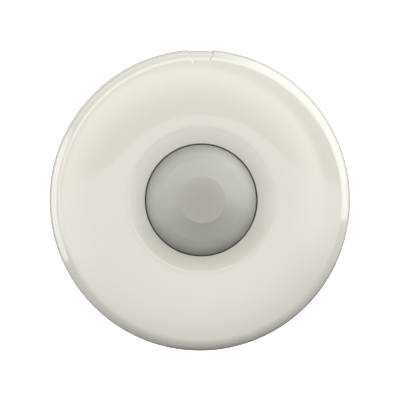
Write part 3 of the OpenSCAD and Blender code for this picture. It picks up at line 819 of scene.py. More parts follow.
def dress_node(node: bpy.types.Object, finish: Finish, soft_mm: float = 0.12) -> None:
    """Gives a frame node its finish and the small rounding that its edges have.

    Args:
        node: The frame's object; its mesh stays as it is.
        finish: What it is made of.
        soft_mm: Size of the rounding.
    """
    node.data.materials.clear()
    node.data.materials.append(finish.material())
    normals = node.data.attributes.get("custom_normal")
    if normals:
        node.data.attributes.remove(normals)
    for poly in node.data.polygons:
        poly.use_smooth = True
    weld = node.modifiers.new("weld", "WELD")
    weld.merge_threshold = WELD
    edges = node.modifiers.new("edges", "BEVEL")
    edges.limit_method = "ANGLE"
    edges.angle_limit = math.radians(SHARP_DEG)
    edges.width = soft_mm * MM
    edges.segments = 2
    edges.use_clamp_overlap = True
    even = node.modifiers.new("even", "WEIGHTED_NORMAL")
    even.keep_sharp = False
    LOG.info("%s: dressed as %s", node.name, finish.name)


# ------------------------------------------------------------------ cover


@dataclass
class FrontCover:
    """The glossy cover: skirt, rounded rim, bowed face, shallow collar and release notch."""

    radius: float = 60.0
    wall: float = 2.2
    bottom_z: float = 1.2
    foot_soft: float = 0.4
    crown_z: float = 25.0
    rim_round: float = 5.6
    crown_bow: float = 132.0
    collar_r: float = 29.1
    crown_r: float = 32.7
    hole_r: float = 22.3
    edge_z: float = 24.4
    seat_z: float = 22.3
    flange_r: float = 24.65
    notch_tip_w: float = 6.0
    notch_w: float = 10.0
    notch_tip_y: float = 54.5
    notch_wide_y: float = 57.9
    notch_depth: float = 0.5
    notch_low_z: float = 8.6
    notch_foot: tuple[float, float] = (-0.12, 0.1)
    notch_soft: float = 0.3
    slot_w: float = 6.0
    slot_z: tuple[float, float] = (8.8, 10.4)
    rows_below: tuple[float, ...] = (3.0, 5.0, 7.0, 8.3)
    rows_above: tuple[float, ...] = (11.0, 12.5, 14.0, 15.5, 16.6)
    slot_columns: int = 40
    near_columns: int = 44
    far_columns: int = 284
    boss_angles: tuple[float, ...] = (45.0, 165.0, 285.0)
    boss_at_r: float = 30.1
    boss_r: float = 2.4
    boss_hole_r: float = 0.85
    boss_low_z: float = 21.3
    boss_sunk: float = 0.6
    press_boss_at: Point = (0.0, 31.0)
    press_boss_r: float = 2.5
    press_boss_z: float = 15.1
    rib_w: float = 9.2
    rib_tip_y: float = 56.2
    rib_z: tuple[float, float] = (7.0, 8.4)
    rib_soft: float = 0.2
    bead_l: float = 11.0
    bead_r: float = 1.4
    bead_z: float = 2.8
    bead_soft: float = 0.3

    def __post_init__(self) -> None:
        """Works out the rim's centre and where the bow of the face meets it."""
        self.bow_z = self.crown_z - self.crown_bow
        self.rim_r = self.radius - self.rim_round
        lean = (self.rim_r - self.crown_r) / (self.crown_bow - self.rim_round)
        self.rim_slope = math.degrees(math.asin(lean))
        self.rim_z = self.bow_z + (self.crown_bow - self.rim_round) * math.sqrt(1 - lean * lean)
        self.inner_r = self.radius - self.wall

    def outside(self) -> list[Point]:
        """Profile of the outer face, from the foot of the skirt in to the lens hole.

        Returns:
            Radius and height of each point, in millimetres.
        """
        low, high = self.slot_z
        under, over = self.notch_foot
        foot = bend((self.radius - self.foot_soft, self.bottom_z), (self.radius, self.bottom_z),
                    (self.radius, self.bottom_z + self.foot_soft), steps=4)
        skirt = [(self.radius, z) for z in (
            *self.rows_below, self.notch_low_z + under, self.notch_low_z, self.notch_low_z + over,
            low, (low + high) / 2, high, *self.rows_above)]
        rim = arc(self.rim_r, self.rim_z, self.rim_round, 0, 90 - self.rim_slope, steps=44)
        inner_lean = math.degrees(math.asin((self.crown_r - self.collar_r) / self.crown_bow))
        face = arc(self.crown_r, self.bow_z, self.crown_bow, 90 - self.rim_slope, 90 + inner_lean,
                   steps=46)[1:-1]
        # The collar is two bends: over its brow, then down to the hole, as shares of its drop.
        collar_z = self.bow_z + self.crown_bow * math.cos(math.radians(inner_lean))
        drop = collar_z - self.edge_z
        collar = bend((self.collar_r + 0.4, collar_z + 0.01), (self.collar_r, collar_z),
                      (self.collar_r - 0.5, collar_z - 0.16 * drop), steps=5)
        collar += bend((self.collar_r - 0.7, collar_z - 0.22 * drop),
                       (self.hole_r + 3.4, self.edge_z + 0.38 * drop),
                       (self.hole_r + 0.35, self.edge_z), steps=12)
        lip = bend((self.hole_r + 0.3, self.edge_z), (self.hole_r, self.edge_z),
                   (self.hole_r, self.edge_z - 0.3), steps=4)
        return foot + skirt + rim + face[:-1] + collar + lip

    def inside(self) -> list[Point]:
        """Profile of the hidden face, from the lens hole out and down to the foot of the skirt.

        Returns:
            Radius and height of each point, in millimetres.
        """
        low, high = self.slot_z
        under = self.crown_z - self.wall
        seat = [(self.hole_r, self.seat_z + 0.1), (self.hole_r + 0.1, self.seat_z),
                (self.flange_r + 0.3, self.seat_z), (self.collar_r + 0.6, under)]
        face = arc(self.crown_r, self.bow_z, self.crown_bow - self.wall, 90, 90 - self.rim_slope,
                   steps=16)
        rim = arc(self.rim_r, self.rim_z, self.rim_round - self.wall, 84 - self.rim_slope, 0,
                  steps=12)
        skirt = [(self.inner_r, z) for z in (14.0, high, (low + high) / 2, low, 6.0, 3.0)]
        foot = bend((self.inner_r, self.bottom_z + 0.3), (self.inner_r, self.bottom_z),
                    (self.inner_r + 0.3, self.bottom_z), steps=3)
        return seat + face + rim + skirt + foot

    def columns(self) -> list[float]:
        """Angles of the mesh columns: close together at the notch, wider elsewhere.

        Returns:
            One angle in radians for each column, clockwise.
        """
        step = self.slot_w / self.slot_columns
        near = [math.asin(i * step / self.radius)
                for i in range(-self.near_columns, self.near_columns + 1)]
        first, last = near[0], near[-1]
        rest = 2 * math.pi - (last - first)
        far = [last + rest * i / self.far_columns for i in range(1, self.far_columns)]
        return [math.pi / 2 - a for a in near] + [math.pi / 2 - a for a in far]

    def notch_share(self, x: float, y: float, z: float) -> float:
        """How deep the notch is at a point of the outer face.

        Args:
            x: Across the notch, in millimetres.
            y: Outwards, in millimetres.
            z: Height, in millimetres.

        Returns:
            0 outside the notch, 1 on its floor.
        """
        if y < self.notch_tip_y - 1 or abs(x) > self.notch_w:
            return 0.0
        widen = min(max((y - self.notch_tip_y) / (self.notch_wide_y - self.notch_tip_y), 0.0), 1.0)
        half = (self.notch_tip_w + (self.notch_w - self.notch_tip_w) * widen) / 2
        soft = self.notch_soft / 2
        under, over = self.notch_foot
        return (smoothstep(half - abs(x), -soft, soft)
                * smoothstep(y - self.notch_tip_y, -soft, soft)
                * smoothstep(z, self.notch_low_z + under, self.notch_low_z + over))

    def shell(self, form: Form) -> None:
        """Adds the turned shell with its notch and its blade slot.

        Args:
            form: The cover's form.
        """
        outer, inner = self.outside(), self.inside()
        profile = outer + inner
        count = len(profile)
        normals = []
        for i in range(count):
            a, b = profile[i - 1], profile[(i + 1) % count]
            d = Vector((b[0] - a[0], b[1] - a[1])).normalized()
            normals.append((d.y, -d.x))
        rows = []
        angles = self.columns()
        for angle in angles:
            c, s = math.cos(angle), math.sin(angle)
            row = []
            for i, (r, z) in enumerate(profile):
                if i < len(outer):
                    cut = self.notch_depth * self.notch_share(r * c, r * s, z)
                    r, z = r - normals[i][0] * cut, z - normals[i][1] * cut
                row.append(Vector((r * c * MM, r * s * MM, z * MM)))
            rows.append(row)
        # Which columns and rows the blade slot spans, with a hair's breadth to spare.
        hair, touch = 1e-3, 0.01
        low, high = self.slot_z[0] - hair, self.slot_z[1] + hair
        limit = math.asin(self.slot_w / 2 / self.radius) + 1e-4
        wide = [i for i, a in enumerate(angles) if abs(math.pi / 2 - a) < limit]
        tall_out = [j for j in range(len(outer)) if abs(outer[j][0] - self.radius) < touch
                    and low < outer[j][1] < high]
        tall_in = [len(outer) + j for j in range(len(inner))
                   if abs(inner[j][0] - self.inner_r) < touch and low < inner[j][1] < high][::-1]
        skip = {(i, j) for i in wide[:-1] for j in tall_out[:-1]}
        skip |= {(i, j) for i in wide[:-1] for j in tall_in[1:]}
        verts = form.grid(rows, True, skip=skip)
        for row_out, row_in, flip in ((tall_out[0], tall_in[0], False),
                                      (tall_out[-1], tall_in[-1], True)):
            for i, k in zip(wide[:-1], wide[1:]):
                quad = [verts[i][row_out], verts[k][row_out], verts[k][row_in], verts[i][row_in]]
                form.face(quad[::-1] if flip else quad)
        for i in (wide[0], wide[-1]):
            for j in range(len(tall_out) - 1):
                form.face([verts[i][tall_out[j]], verts[i][tall_out[j + 1]],
                           verts[i][tall_in[j + 1]], verts[i][tall_in[j]]])

    def bosses(self, form: Form) -> None:
        """Adds the screw bosses and the boss that presses the tamper plunger.

        Args:
            form: The cover's form.
        """
        top = self.crown_z - self.wall + self.boss_sunk
        for angle in self.boss_angles:
            a = math.radians(angle)
            at = (self.boss_at_r * math.cos(a), self.boss_at_r * math.sin(a))
            form.lathe(rounded([(self.boss_hole_r, self.boss_low_z), (self.boss_r, self.boss_low_z),
                                (self.boss_r, top), (self.boss_hole_r, top)], {1: 0.2}), at,
                       turns=32)
        z = self.press_boss_z
        form.lathe(rounded([(2 * AXIS_R, z), (self.press_boss_r, z), (self.press_boss_r, top),
                            (2 * AXIS_R, top)], {1: 0.3}), self.press_boss_at, turns=32)

    def catch_and_bead(self, form: Form) -> None:
        """Adds the rib that the latch holds and the bead that the cover turns on.

        Args:
            form: The cover's form.
        """
        half = self.rib_w / 2
        form.block(Vector((-half, self.rib_tip_y, self.rib_z[0])) * MM,
                   Vector((half, self.inner_r + self.wall / 2, self.rib_z[1])) * MM,
                   self.rib_soft * MM)
        bead = bmesh.new()
        bmesh.ops.create_cone(bead, cap_ends=True, segments=24, radius1=self.bead_r * MM,
                              radius2=self.bead_r * MM, depth=self.bead_l * MM)
        caps = [e for e in bead.edges if len(e.link_faces) == 2
                and any(len(f.verts) > 4 for f in e.link_faces)]
        bmesh.ops.bevel(bead, geom=caps, offset=self.bead_soft * MM, segments=3, profile=0.5,
                        affect="EDGES", clamp_overlap=True)
        form.take(bead, 0, Matrix.Translation(Vector((0, -self.inner_r, self.bead_z)) * MM)
                  @ Matrix.Rotation(math.pi / 2, 4, "Y"))

    def build(self) -> None:
        """Builds the cover."""
        form = Form("front_cover_moulding", 40.0)
        self.shell(form)
        self.bosses(form)
        self.catch_and_bead(form)
        form.finish([COVER_ABS], Body.COVER, "cover_plastic", ["front_cover"])


@dataclass
class DomeLens:
    """The dome that the sensor looks through: a rounded shoulder, a cone and a shallow cap."""

    lens_r: float = 21.85
    flange_r: float = 24.65
    flange_z: tuple[float, float] = (21.3, 22.2)
    flange_soft: float = 0.15
    foot_soft: float = 0.25
    edge_z: float = 24.4
    shoulder_rise: float = 4.4
    shoulder_lean: float = 0.54
    shoulder_steps: int = 30
    cone_steps: int = 12
    middle_r: float = 16.35
    middle_slope: float = 22.0
    inner_r: float = 9.05
    inner_bow: float = 0.4
    wall: float = 0.9
    crease: float = 0.16
    ring_pitch: float = 1.1
    ring_depth: float = 0.12

    def skin(self, inset: float) -> list[Point]:
        """Profile from the hole up over the shoulder and the two inner zones.

        Args:
            inset: How far inside the outer face.

        Returns:
            Points from the foot of the shoulder in to the axis.
        """
        r, z = self.lens_r - inset, self.edge_z + self.shoulder_rise - inset
        rise = (self.middle_r - self.inner_r) * math.tan(math.radians(self.middle_slope))
        shoulder = bend((r, self.edge_z - inset),
                        (r - 0.1, z - (r - self.middle_r) * self.shoulder_lean),
                        (self.middle_r, z), self.shoulder_steps)
        cone = line((self.middle_r, z), (self.inner_r, z + rise), self.cone_steps)
        bow_r = (self.inner_r ** 2 + self.inner_bow ** 2) / (2 * self.inner_bow)
        lean = math.degrees(math.asin(self.inner_r / bow_r))
        # The cap's arc stops just short of the axis.
        cap = arc(0, z + rise + self.inner_bow - bow_r, bow_r, 90 - lean, 89.996, steps=14)
        points = shoulder + cone[1:] + cap[1:]
        creases = (self.shoulder_steps, self.shoulder_steps + self.cone_steps)
        return rounded(points, dict.fromkeys(creases, self.crease), steps=3)

    def outside(self) -> list[Point]:
        """Profile of the outer face, from the flange in to the axis.

        Returns:
            Radius and height of each point, in millimetres.
        """
        low, high = self.flange_z
        soft, foot = self.flange_soft, self.foot_soft
        return [(self.flange_r - soft, low), (self.flange_r, low + soft),
                (self.flange_r, high - soft), (self.flange_r - soft, high),
                (self.lens_r + foot, high), (self.lens_r, high + foot), *self.skin(0.0)]

    def inside(self) -> list[Point]:
        """Profile of the inner face, whose fine rings gather the heat rays, from the axis out.

        Returns:
            Radius and height of each point, in millimetres.
        """
        smooth = self.skin(self.wall)[::-1]
        ringed = range(1, len(smooth) - 6)
        points: list[Point] = []
        for i, (r, z) in enumerate(smooth):
            ring = (r / self.ring_pitch) % 1.0
            points.append((max(r, AXIS_R), z - self.ring_depth * ring * (i in ringed)))
        out_r = self.lens_r - self.wall
        return points + [(out_r, self.flange_z[0] + 0.1), (out_r + 0.1, self.flange_z[0])]

    def build(self) -> None:
        """Builds the lens."""
        form = Form("dome_lens_moulding", 50.0)
        form.lathe(self.outside() + self.inside(), turns=160)
        form.finish([LENS_POLYETHYLENE], Body.COVER, "lens_plastic", ["dome_lens"])


@dataclass
class CoverAssembly:
    """Everything that swings with the cover."""

    cover: FrontCover = field(default_factory=FrontCover)
    lens: DomeLens = field(default_factory=DomeLens)
    retainer_soft: float = 0.2
    screw_soft: float = 0.12

    def build(self, nodes: dict[str, bpy.types.Object]) -> None:
        """Builds and dresses the cover's pieces.

        Args:
            nodes: The frame's objects by name.
        """
        self.cover.build()
        self.lens.build()
        dress_node(nodes["lens_retainer"], RETAINER_NYLON, self.retainer_soft)
        dress_node(nodes["retainer_screws"], SCREW_STEEL, self.screw_soft)


# ------------------------------------------------------------------ housing and board


@dataclass
class HousingAssembly:
    """The rear housing and the latch that is moulded with it."""

    housing_soft: float = 0.25
    latch_soft: float = 0.12

    def build(self, nodes: dict[str, bpy.types.Object]) -> None:
        """Dresses the housing and the latch.

        Args:
            nodes: The frame's objects by name.
        """
        dress_node(nodes["rear_housing"], HOUSING_ABS, self.housing_soft)
        dress_node(nodes["release_latch"], HOUSING_ABS, self.latch_soft)


@dataclass
class ChipParts:
    """Small two-ended parts: a body between two wrapped metal ends."""

    node: str
    piece: str
    body: Finish
    slot: str
    end_mm: float
    soft_mm: float = 0.06
    inset_mm: float = 0.03

    def build(self, nodes: dict[str, bpy.types.Object]) -> None:
        """Builds every part of the node where the frame has it.

        Args:
            nodes: The frame's objects by name.
        """
        form = Form(self.piece)
        for points in islands(nodes[self.node]):
            self.one(form, points)
        form.finish([self.body, TIN], Body.HOUSING, self.slot, [self.node])

    def one(self, form: Form, points: list[Vector]) -> None:
        """Adds one part from the corners of its solid.

        Args:
            form: The form that takes it.
            points: The corners.
        """
        middle = sum(points, Vector()) / len(points)
        base = [p for p in points if p.z < middle.z]
        sides = sorted(((a - b).length, i, j) for i, a in enumerate(base)
                       for j, b in enumerate(base) if i < j)
        width, length = sides[0][0], sides[2][0]
        one, two = base[sides[2][1]], base[sides[2][2]]
        turn = math.atan2(two.y - one.y, two.x - one.x)
        height = 2 * (middle.z - base[0].z)
        place = Matrix.Translation(middle) @ Matrix.Rotation(turn, 4, "Z")
        inset, end, soft = self.inset_mm * MM, self.end_mm * MM, self.soft_mm * MM
        half = Vector((length / 2, width / 2, height / 2))
        form.block(Vector((-half.x + end / 2, -half.y + inset, -half.z)),
                   Vector((half.x - end / 2, half.y - inset, half.z - inset)), soft, 0, place)
        for sign in (-1, 1):
            xs = sorted((sign * half.x, sign * (half.x - end)))
            form.block(Vector((xs[0], -half.y, -half.z)), Vector((xs[1], half.y, half.z)), soft, 1,
                       place)


@dataclass
class StorageCapacitors:
    """Aluminium cans with a rolled neck, a scored vent and a dark polarity mark."""

    radius: float = 3.15
    height: float = 6.6
    base_z: float = 7.6
    foot_soft: float = 0.15
    # Heights of the rolled neck over the base, each with how far it is pressed in.
    neck: tuple[Point, ...] = ((0.75, 0.0), (0.9, 0.14), (1.1, 0.24), (1.3, 0.14), (1.45, 0.0))
    rim_round: float = 0.4
    flat_share: float = 0.72
    mark_reach: float = 0.9
    mark_drop: float = 0.3
    score_share: float = 0.62
    score_w: float = 0.12
    score_sunk: float = 0.2
    score_proud: float = 0.016
    score_soft: float = 0.02

    def build(self, nodes: dict[str, bpy.types.Object]) -> None:
        """Builds the cans where the frame has them.

        Args:
            nodes: The frame's objects by name.
        """
        form = Form("storage_capacitor_cans")
        for points in islands(nodes["storage_capacitors"]):
            centre = sum((Vector((p.x, p.y, 0)) for p in points), Vector()) / len(points)
            at = (centre.x / MM, centre.y / MM)
            self.can(form, at)
        form.finish([ALUMINIUM, SLEEVE_INK], Body.HOUSING, "capacitor_can",
                    ["storage_capacitors"])

    def can(self, form: Form, at: Point) -> None:
        """Adds one can.

        Args:
            form: The form that takes it.
            at: Where it stands, in millimetres.
        """
        r, z, h, edge = self.radius, self.base_z, self.height, self.rim_round
        profile = [(AXIS_R, z), (r - self.foot_soft, z), (r, z + self.foot_soft)]
        profile += [(r - depth, z + up) for up, depth in self.neck]
        profile += arc(r - edge, z + h - edge, edge, 0, 90, steps=6)
        profile += [(r * self.flat_share, z + h), (AXIS_R, z + h)]
        first = len(form.mesh.faces)
        form.lathe(profile, at, turns=64)
        form.mesh.faces.ensure_lookup_table()
        for poly in form.mesh.faces[first:]:
            middle = poly.calc_center_median() / MM
            if middle.z > z + h - self.mark_drop and middle.x - at[0] < -self.mark_reach:
                poly.material_index = 1
        top = (z + h) * MM
        long, half = self.score_share * r, self.score_w / 2
        for angle in (0, 60, 120):
            place = (Matrix.Translation(Vector((at[0] * MM, at[1] * MM, top)))
                     @ Matrix.Rotation(math.radians(angle), 4, "Z"))
            form.block(Vector((-long, -half, -self.score_sunk)) * MM,
                       Vector((long, half, self.score_proud)) * MM, self.score_soft * MM, 1, place)


@dataclass
class Lamp:
    """The walk-test lamp: a small epoxy dome on a collar."""

    at: Point = (0.0, 11.0)
    radius: float = 1.5
    collar: float = 0.4
    collar_h: float = 0.7
    foot_soft: float = 0.08
    collar_soft: float = 0.1
    groove: float = 0.06
    low_z: float = 8.6
    height: float = 4.4

    def build(self) -> None:
        """Builds the lamp."""
        form = Form("walk_test_lamp")
        r, z = self.radius, self.low_z
        wide, brow = r + self.collar, z + self.collar_h
        profile = [(AXIS_R, z), (wide - self.foot_soft, z), (wide, z + self.foot_soft),
                   (wide, brow - self.collar_soft), (wide - self.collar_soft, brow),
                   (r + self.groove, brow), (r, brow + self.collar_soft)]
        profile += arc(0, z + self.height - r, r, 0, 89.9, steps=12)
        form.lathe(profile, self.at, turns=48)
        form.finish([LAMP_EPOXY], Body.HOUSING, "lamp_epoxy", ["walk_test_led"])


@dataclass
class Legend:
    """White outlines printed round the parts, and tinned rings round the screw holes."""

    top_z: float = 6.6
    line_w: float = 0.16
    line_h: float = 0.02
    line_soft: float = 0.004
    sunk: float = 0.02
    margin: float = 0.45
    part_foot: float = 0.5
    ring_r: tuple[float, float] = (1.75, 3.1)
    ring_h: float = 0.015
    outlined: tuple[str, ...] = (
        "microcontroller", "signal_amplifier", "voltage_regulator", "alarm_relay", "option_switch",
        "tamper_switch", "capacitor_bases", "protection_diodes")

    def outline(self, form: Form, low: Vector, high: Vector) -> None:
        """Adds a printed frame round a part.

        Args:
            form: The legend's form.
            low: Lowest corner of the part.
            high: Highest corner of the part.
        """
        m, w, soft = self.margin * MM, self.line_w * MM, self.line_soft * MM
        z0, z1 = (self.top_z - self.sunk) * MM, (self.top_z + self.line_h) * MM
        xs, ys = (low.x - m, high.x + m), (low.y - m, high.y + m)
        for y in ys:
            form.block(Vector((xs[0], y - w / 2, z0)), Vector((xs[1], y + w / 2, z1)), soft)
        for x in xs:
            form.block(Vector((x - w / 2, ys[0], z0)), Vector((x + w / 2, ys[1], z1)), soft)

    def build(self, nodes: dict[str, bpy.types.Object]) -> None:
        """Builds the outlines and the rings.

        Args:
            nodes: The frame's objects by name.
        """
        form = Form("board_legend")
        for name in self.outlined:
            for points in islands(nodes[name]):
                low = Vector([min(p[i] for p in points) for i in range(3)])
                high = Vector([max(p[i] for p in points) for i in range(3)])
                if low.z < (self.top_z + self.part_foot) * MM:
                    self.outline(form, low, high)
        form.finish([LEGEND_INK], Body.HOUSING, "board_laminate")
        rings = Form("screw_hole_rings")
        for points in islands(nodes["board_screws"]):
            centre = sum((Vector((p.x, p.y, 0)) for p in points), Vector()) / len(points)
            low, high = self.ring_r
            under, over = self.top_z - self.sunk, self.top_z + self.ring_h
            rings.lathe([(low, under), (high, under), (high, over), (low, over)],
                        (centre.x / MM, centre.y / MM), turns=40)
        rings.finish([TIN], Body.HOUSING, "tinned_metal")


@dataclass
class BoardAssembly:
    """The circuit board and everything soldered to it.

    The plain nodes have their finish and rounding, the chips have where the dimple of their
    first pin is, and their rounding.
    """

    plain: tuple[tuple[str, Finish, float], ...] = (
        ("circuit_board", BOARD, 0.1), ("board_screws", SCREW_STEEL, 0.15),
        ("sensor_header", CAN_STEEL, 0.08), ("sensor_can", CAN_STEEL, 0.14),
        ("sensor_window", FILTER, 0.04), ("sensor_leads", TIN, 0.04),
        ("sensor_gasket", FOAM, 0.25), ("terminal_block", TERMINAL_NYLON, 0.14),
        ("terminal_screws", SCREW_STEEL, 0.1), ("terminal_clamps", TIN, 0.06),
        ("alarm_relay", RELAY_PBT, 0.18), ("relay_pins", TIN, 0.05),
        ("tamper_switch", SWITCH_PBT, 0.15), ("tamper_plunger", PLUNGER_ACETAL, 0.25),
        ("led_leads", TIN, 0.04), ("microcontroller_pins", TIN, 0.03),
        ("amplifier_pins", TIN, 0.03), ("capacitor_bases", BASE_PPS, 0.1),
        ("option_switch", OPTION_NYLON, 0.12), ("option_slider_1", SLIDER_ACETAL, 0.08),
        ("option_slider_2", SLIDER_ACETAL, 0.08), ("option_slider_3", SLIDER_ACETAL, 0.08))
    chips: tuple[tuple[str, tuple[float, float], float], ...] = (
        ("microcontroller", (-16.6, 12.9), 0.06), ("signal_amplifier", (-14.7, -5.1), 0.06),
        ("voltage_regulator", (-14.6, -12.7), 0.06))

    def build(self, nodes: dict[str, bpy.types.Object]) -> None:
        """Builds and dresses the board's pieces.

        Args:
            nodes: The frame's objects by name.
        """
        for name, finish, soft in self.plain:
            dress_node(nodes[name], finish, soft)
        for name, dimple, soft in self.chips:
            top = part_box(name)[1].z / MM
            chip = MarkedChip(**{**asdict(CHIP_EPOXY), "name": f"{CHIP_EPOXY.name}_{name}",
                                 "dimple_mm": (*dimple, top)})
            dress_node(nodes[name], chip, soft)
        ChipParts("chip_resistors", "chip_resistor_parts", RESISTOR_GLAZE, "resistor_body",
                  end_mm=0.32).build(nodes)
        ChipParts("chip_capacitors", "chip_capacitor_parts", CAPACITOR_CERAMIC, "ceramic_body",
                  end_mm=0.45).build(nodes)
        ChipParts("protection_diodes", "protection_diode_parts", CHIP_EPOXY, "diode_body",
                  end_mm=0.5, soft_mm=0.12, inset_mm=0.2).build(nodes)
        StorageCapacitors().build(nodes)
        Lamp().build()
        Legend().build(nodes)


# ------------------------------------------------------------------ studio


@dataclass(frozen=True)
class LightPanel:
    """A soft panel of light far away, as a patch of the surroundings.

    Angles are in degrees: turns are about the lens axis from +X, tilts are away from it. Each
    edge is given as the angle where the light starts to fall and how far it takes to fall.
    """

    name: str
    colour: str
    radiance: float
    turns: tuple[float, float]
    turn_soft: tuple[float, float]
    tilts: tuple[float, float]
    tilt_soft: tuple[float, float]

    def share(self, tree: bpy.types.NodeTree, ray: bpy.types.NodeSocket) -> bpy.types.NodeSocket:
        """How much of the panel a ray meets.

        Args:
            tree: The world's nodes.
            ray: Direction of the ray.

        Returns:
            1 on the panel, 0 beside it.
        """
        middle = sum(self.turns) / 2
        spun = add_node(tree, "ShaderNodeVectorRotate", {"rotation_type": "Z_AXIS"}, {
            "Vector": ray, "Angle": -math.radians(middle)})
        axes = add_node(tree, "ShaderNodeSeparateXYZ", None, {0: spun.outputs[0]})
        turn = add_node(tree, "ShaderNodeMath", {"operation": "ARCTAN2"}, {
            0: axes.outputs["Y"], 1: axes.outputs["X"]})
        tilt = add_node(tree, "ShaderNodeMath", {"operation": "ARCCOSINE"}, {0: axes.outputs["Z"]})
        ends = [
            (turn, self.turns[0] - middle, self.turn_soft[0]),
            (turn, self.turns[1] - middle, -self.turn_soft[1]),
            (tilt, self.tilts[0], self.tilt_soft[0]),
            (tilt, self.tilts[1], -self.tilt_soft[1])]
        total: Optional[bpy.types.NodeSocket] = None
        for source, at, soft in ends:
            edge = add_node(tree, "ShaderNodeMapRange", {"interpolation_type": "SMOOTHSTEP"}, {
                "Value": source.outputs[0], "From Min": math.radians(at),
                "From Max": math.radians(at + soft)})
            if total is None:
                total = edge.outputs[0]
            else:
                total = add_node(tree, "ShaderNodeMath", {"operation": "MULTIPLY"}, {
                    0: total, 1: edge.outputs[0]}).outputs[0]
        return total


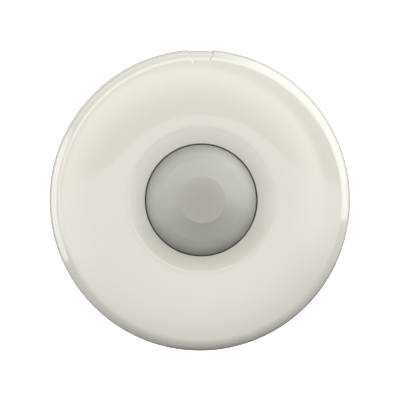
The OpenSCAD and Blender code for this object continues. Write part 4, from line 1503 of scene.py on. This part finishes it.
@dataclass
class Studio:
    """Plain pale floor, soft light all round, and the camera over the lens."""

    room_colour: str = "#c9c9c6"
    room: float = 0.72
    warm: Rgba = (0.80, 0.83, 0.56, 1.0)
    warm_high: Rgba = (1.06, 1.04, 0.90, 1.0)
    warm_reach: float = 0.35
    cool: Rgba = (1.50, 1.42, 1.54, 1.0)
    horizon: float = 0.049
    horizon_soft: float = 0.004
    sheet_tilt: tuple[float, float] = (30.0, 24.0)
    panels: tuple[LightPanel, ...] = (
        LightPanel("overhead rise", "#fffdf5", 2.0, (-25.0, 222.0), (20.0, 16.0), (7.0, 22.0),
                   (13.0, 3.0)),
        LightPanel("head strip", "#fffdf6", 2.4, (20.0, 203.0), (20.0, 8.0), (24.0, 62.0),
                   (8.0, 24.0)),
        LightPanel("right window", "#ffffff", 3.0, (-8.0, 86.0), (1.2, 30.0), (32.0, 116.0),
                   (14.0, 16.0)),
        LightPanel("left window", "#ffffff", 3.0, (146.0, 206.5), (14.0, 1.2), (54.0, 120.0),
                   (14.0, 14.0)),
        LightPanel("skyline", "#fffdf8", 1.5, (-30.0, 215.0), (10.0, 10.0), (84.0, 98.0),
                   (3.0, 3.0)),
    )
    shade: LightPanel = LightPanel("dark side", "#000000", 0.69, (208.0, 352.0), (52.0, 24.0),
                                   (9.0, 181.0), (20.0, 0.5))
    backdrop: Rgba = (1.02, 1.02, 1.02, 1.0)
    floor_size: float = 8.0
    floor_drop: float = 0.0002
    floor_colour: str = "#e9e9e9"
    floor_shade: float = 0.96
    floor_glow: float = 0.86
    camera_from: tuple[float, float, float] = (-0.058, 0.0, 1.0)
    camera_far: float = 1.0
    camera_aim: Point = (-0.12, 17.5)
    camera_lens: float = 226.0
    camera_clip: tuple[float, float] = (0.01, 50.0)
    sensor: float = 36.0

    def world(self) -> None:
        """Builds the surroundings that light the detector."""
        world = bpy.data.worlds.new("soft_studio")
        bpy.context.scene.world = world
        world.use_nodes = True
        tree = world.node_tree
        tree.nodes.clear()
        ray = add_node(tree, "ShaderNodeTexCoord").outputs["Generated"]
        axes = add_node(tree, "ShaderNodeSeparateXYZ", None, {0: ray})
        side = add_node(tree, "ShaderNodeMapRange", {"interpolation_type": "SMOOTHSTEP"}, {
            "Value": axes.outputs["Y"], "From Min": self.horizon - self.horizon_soft,
            "From Max": self.horizon + self.horizon_soft})
        higher = add_node(tree, "ShaderNodeMapRange", {"interpolation_type": "SMOOTHSTEP"}, {
            "Value": axes.outputs["Y"], "From Min": self.horizon, "From Max": self.warm_reach})
        warm = add_node(tree, "ShaderNodeMix", {"data_type": "RGBA"}, {
            "Factor": higher.outputs[0], 6: self.warm, 7: self.warm_high})
        sheet = add_node(tree, "ShaderNodeMix", {"data_type": "RGBA"}, {
            "Factor": side.outputs[0], 6: self.cool, 7: warm.outputs[2]})
        tilt = add_node(tree, "ShaderNodeMath", {"operation": "ARCCOSINE"}, {0: axes.outputs["Z"]})
        start, soft = self.sheet_tilt
        fade = add_node(tree, "ShaderNodeMapRange", {"interpolation_type": "SMOOTHSTEP"}, {
            "Value": tilt.outputs[0], "From Min": math.radians(start),
            "From Max": math.radians(start + soft)})
        room = dimmed(hex_to_linear(self.room_colour), self.room)
        light = add_node(tree, "ShaderNodeMix", {"data_type": "RGBA"}, {
            "Factor": fade.outputs[0], 6: sheet.outputs[2], 7: room})
        shade = add_node(tree, "ShaderNodeMath", {"operation": "MULTIPLY"}, {
            0: self.shade.share(tree, ray), 1: self.shade.radiance})
        light = add_node(tree, "ShaderNodeMix", {"data_type": "RGBA"}, {
            "Factor": shade.outputs[0], 6: light.outputs[2], 7: hex_to_linear(self.shade.colour)})
        for panel in self.panels:
            glow = dimmed(hex_to_linear(panel.colour), panel.radiance)
            light = add_node(tree, "ShaderNodeMix", {"data_type": "RGBA"}, {
                "Factor": panel.share(tree, ray), 6: light.outputs[2], 7: glow})
        lit = add_node(tree, "ShaderNodeBackground", None, {"Color": light.outputs[2]})
        seen = add_node(tree, "ShaderNodeBackground", None, {"Color": self.backdrop})
        path = add_node(tree, "ShaderNodeLightPath")
        both = add_node(tree, "ShaderNodeMixShader", None, {
            0: path.outputs["Is Camera Ray"], 1: lit.outputs[0], 2: seen.outputs[0]})
        add_node(tree, "ShaderNodeOutputWorld", None, {"Surface": both.outputs[0]})

    def floor(self) -> None:
        """Lays the floor, which only the camera sees so that it doesn't light the detector."""
        form = bmesh.new()
        bmesh.ops.create_grid(form, x_segments=8, y_segments=8, size=self.floor_size / 2)
        data = bpy.data.meshes.new("studio_floor")
        form.to_mesh(data)
        form.free()
        floor = bpy.data.objects.new("studio_floor", data)
        floor.location.z = -self.floor_drop
        bpy.context.scene.collection.objects.link(floor)
        paint = bpy.data.materials.new("matt_painted_floor")
        paint.use_nodes = True
        tree = paint.node_tree
        tree.nodes.clear()
        place = add_node(tree, "ShaderNodeTexCoord").outputs["Object"]
        cloud = add_node(tree, "ShaderNodeTexNoise", None, {"Vector": place, "Scale": 3.0})
        pale = hex_to_linear(self.floor_colour)
        tone = add_node(tree, "ShaderNodeMix", {"data_type": "RGBA"}, {
            "Factor": cloud.outputs[0], 6: dimmed(pale, self.floor_shade), 7: pale})
        matt = add_node(tree, "ShaderNodeBsdfDiffuse", None, {"Color": tone.outputs[2]})
        glow = add_node(tree, "ShaderNodeEmission", None, {
            "Color": (1.0, 1.0, 1.0, 1.0), "Strength": self.floor_glow})
        both = add_node(tree, "ShaderNodeAddShader", None, {0: matt.outputs[0], 1: glow.outputs[0]})
        add_node(tree, "ShaderNodeOutputMaterial", None, {"Surface": both.outputs[0]})
        data.materials.append(paint)
        floor.visible_glossy = False
        floor.visible_diffuse = False
        floor.visible_transmission = False
        floor.visible_shadow = False

    def camera(self) -> None:
        """Puts the camera over the lens, with the notch at the top of its view."""
        data = bpy.data.cameras.new("camera")
        data.lens = self.camera_lens
        data.sensor_width = self.sensor
        camera = bpy.data.objects.new("camera", data)
        bpy.context.scene.collection.objects.link(camera)
        back = Vector(self.camera_from).normalized()
        right = Vector((0, 1, 0)).cross(back).normalized()
        up = back.cross(right)
        turn = Matrix((right, up, back)).transposed().to_4x4()
        aim = Vector((self.camera_aim[0], 0, self.camera_aim[1])) * MM
        camera.matrix_world = Matrix.Translation(aim + back * self.camera_far) @ turn
        data.clip_start, data.clip_end = self.camera_clip
        bpy.context.scene.camera = camera

    def build(self) -> None:
        """Builds the light, the floor and the camera."""
        scene = bpy.context.scene
        scene.view_settings.view_transform = "Standard"
        scene.view_settings.look = "None"
        self.world()
        self.floor()
        self.camera()
        LOG.info("studio: %s", ", ".join(panel.name for panel in (*self.panels, self.shade)))


def main() -> None:
    """Builds the studio and every piece round the frame."""
    logging.basicConfig(level=logging.INFO, format="%(name)s: %(message)s")
    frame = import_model()
    Studio().build()
    nodes = frame["nodes"]
    HousingAssembly().build(nodes)
    BoardAssembly().build(nodes)
    CoverAssembly().build(nodes)
    LOG.info("frame and visual boxes written")


if __name__ == "__main__":
    main()
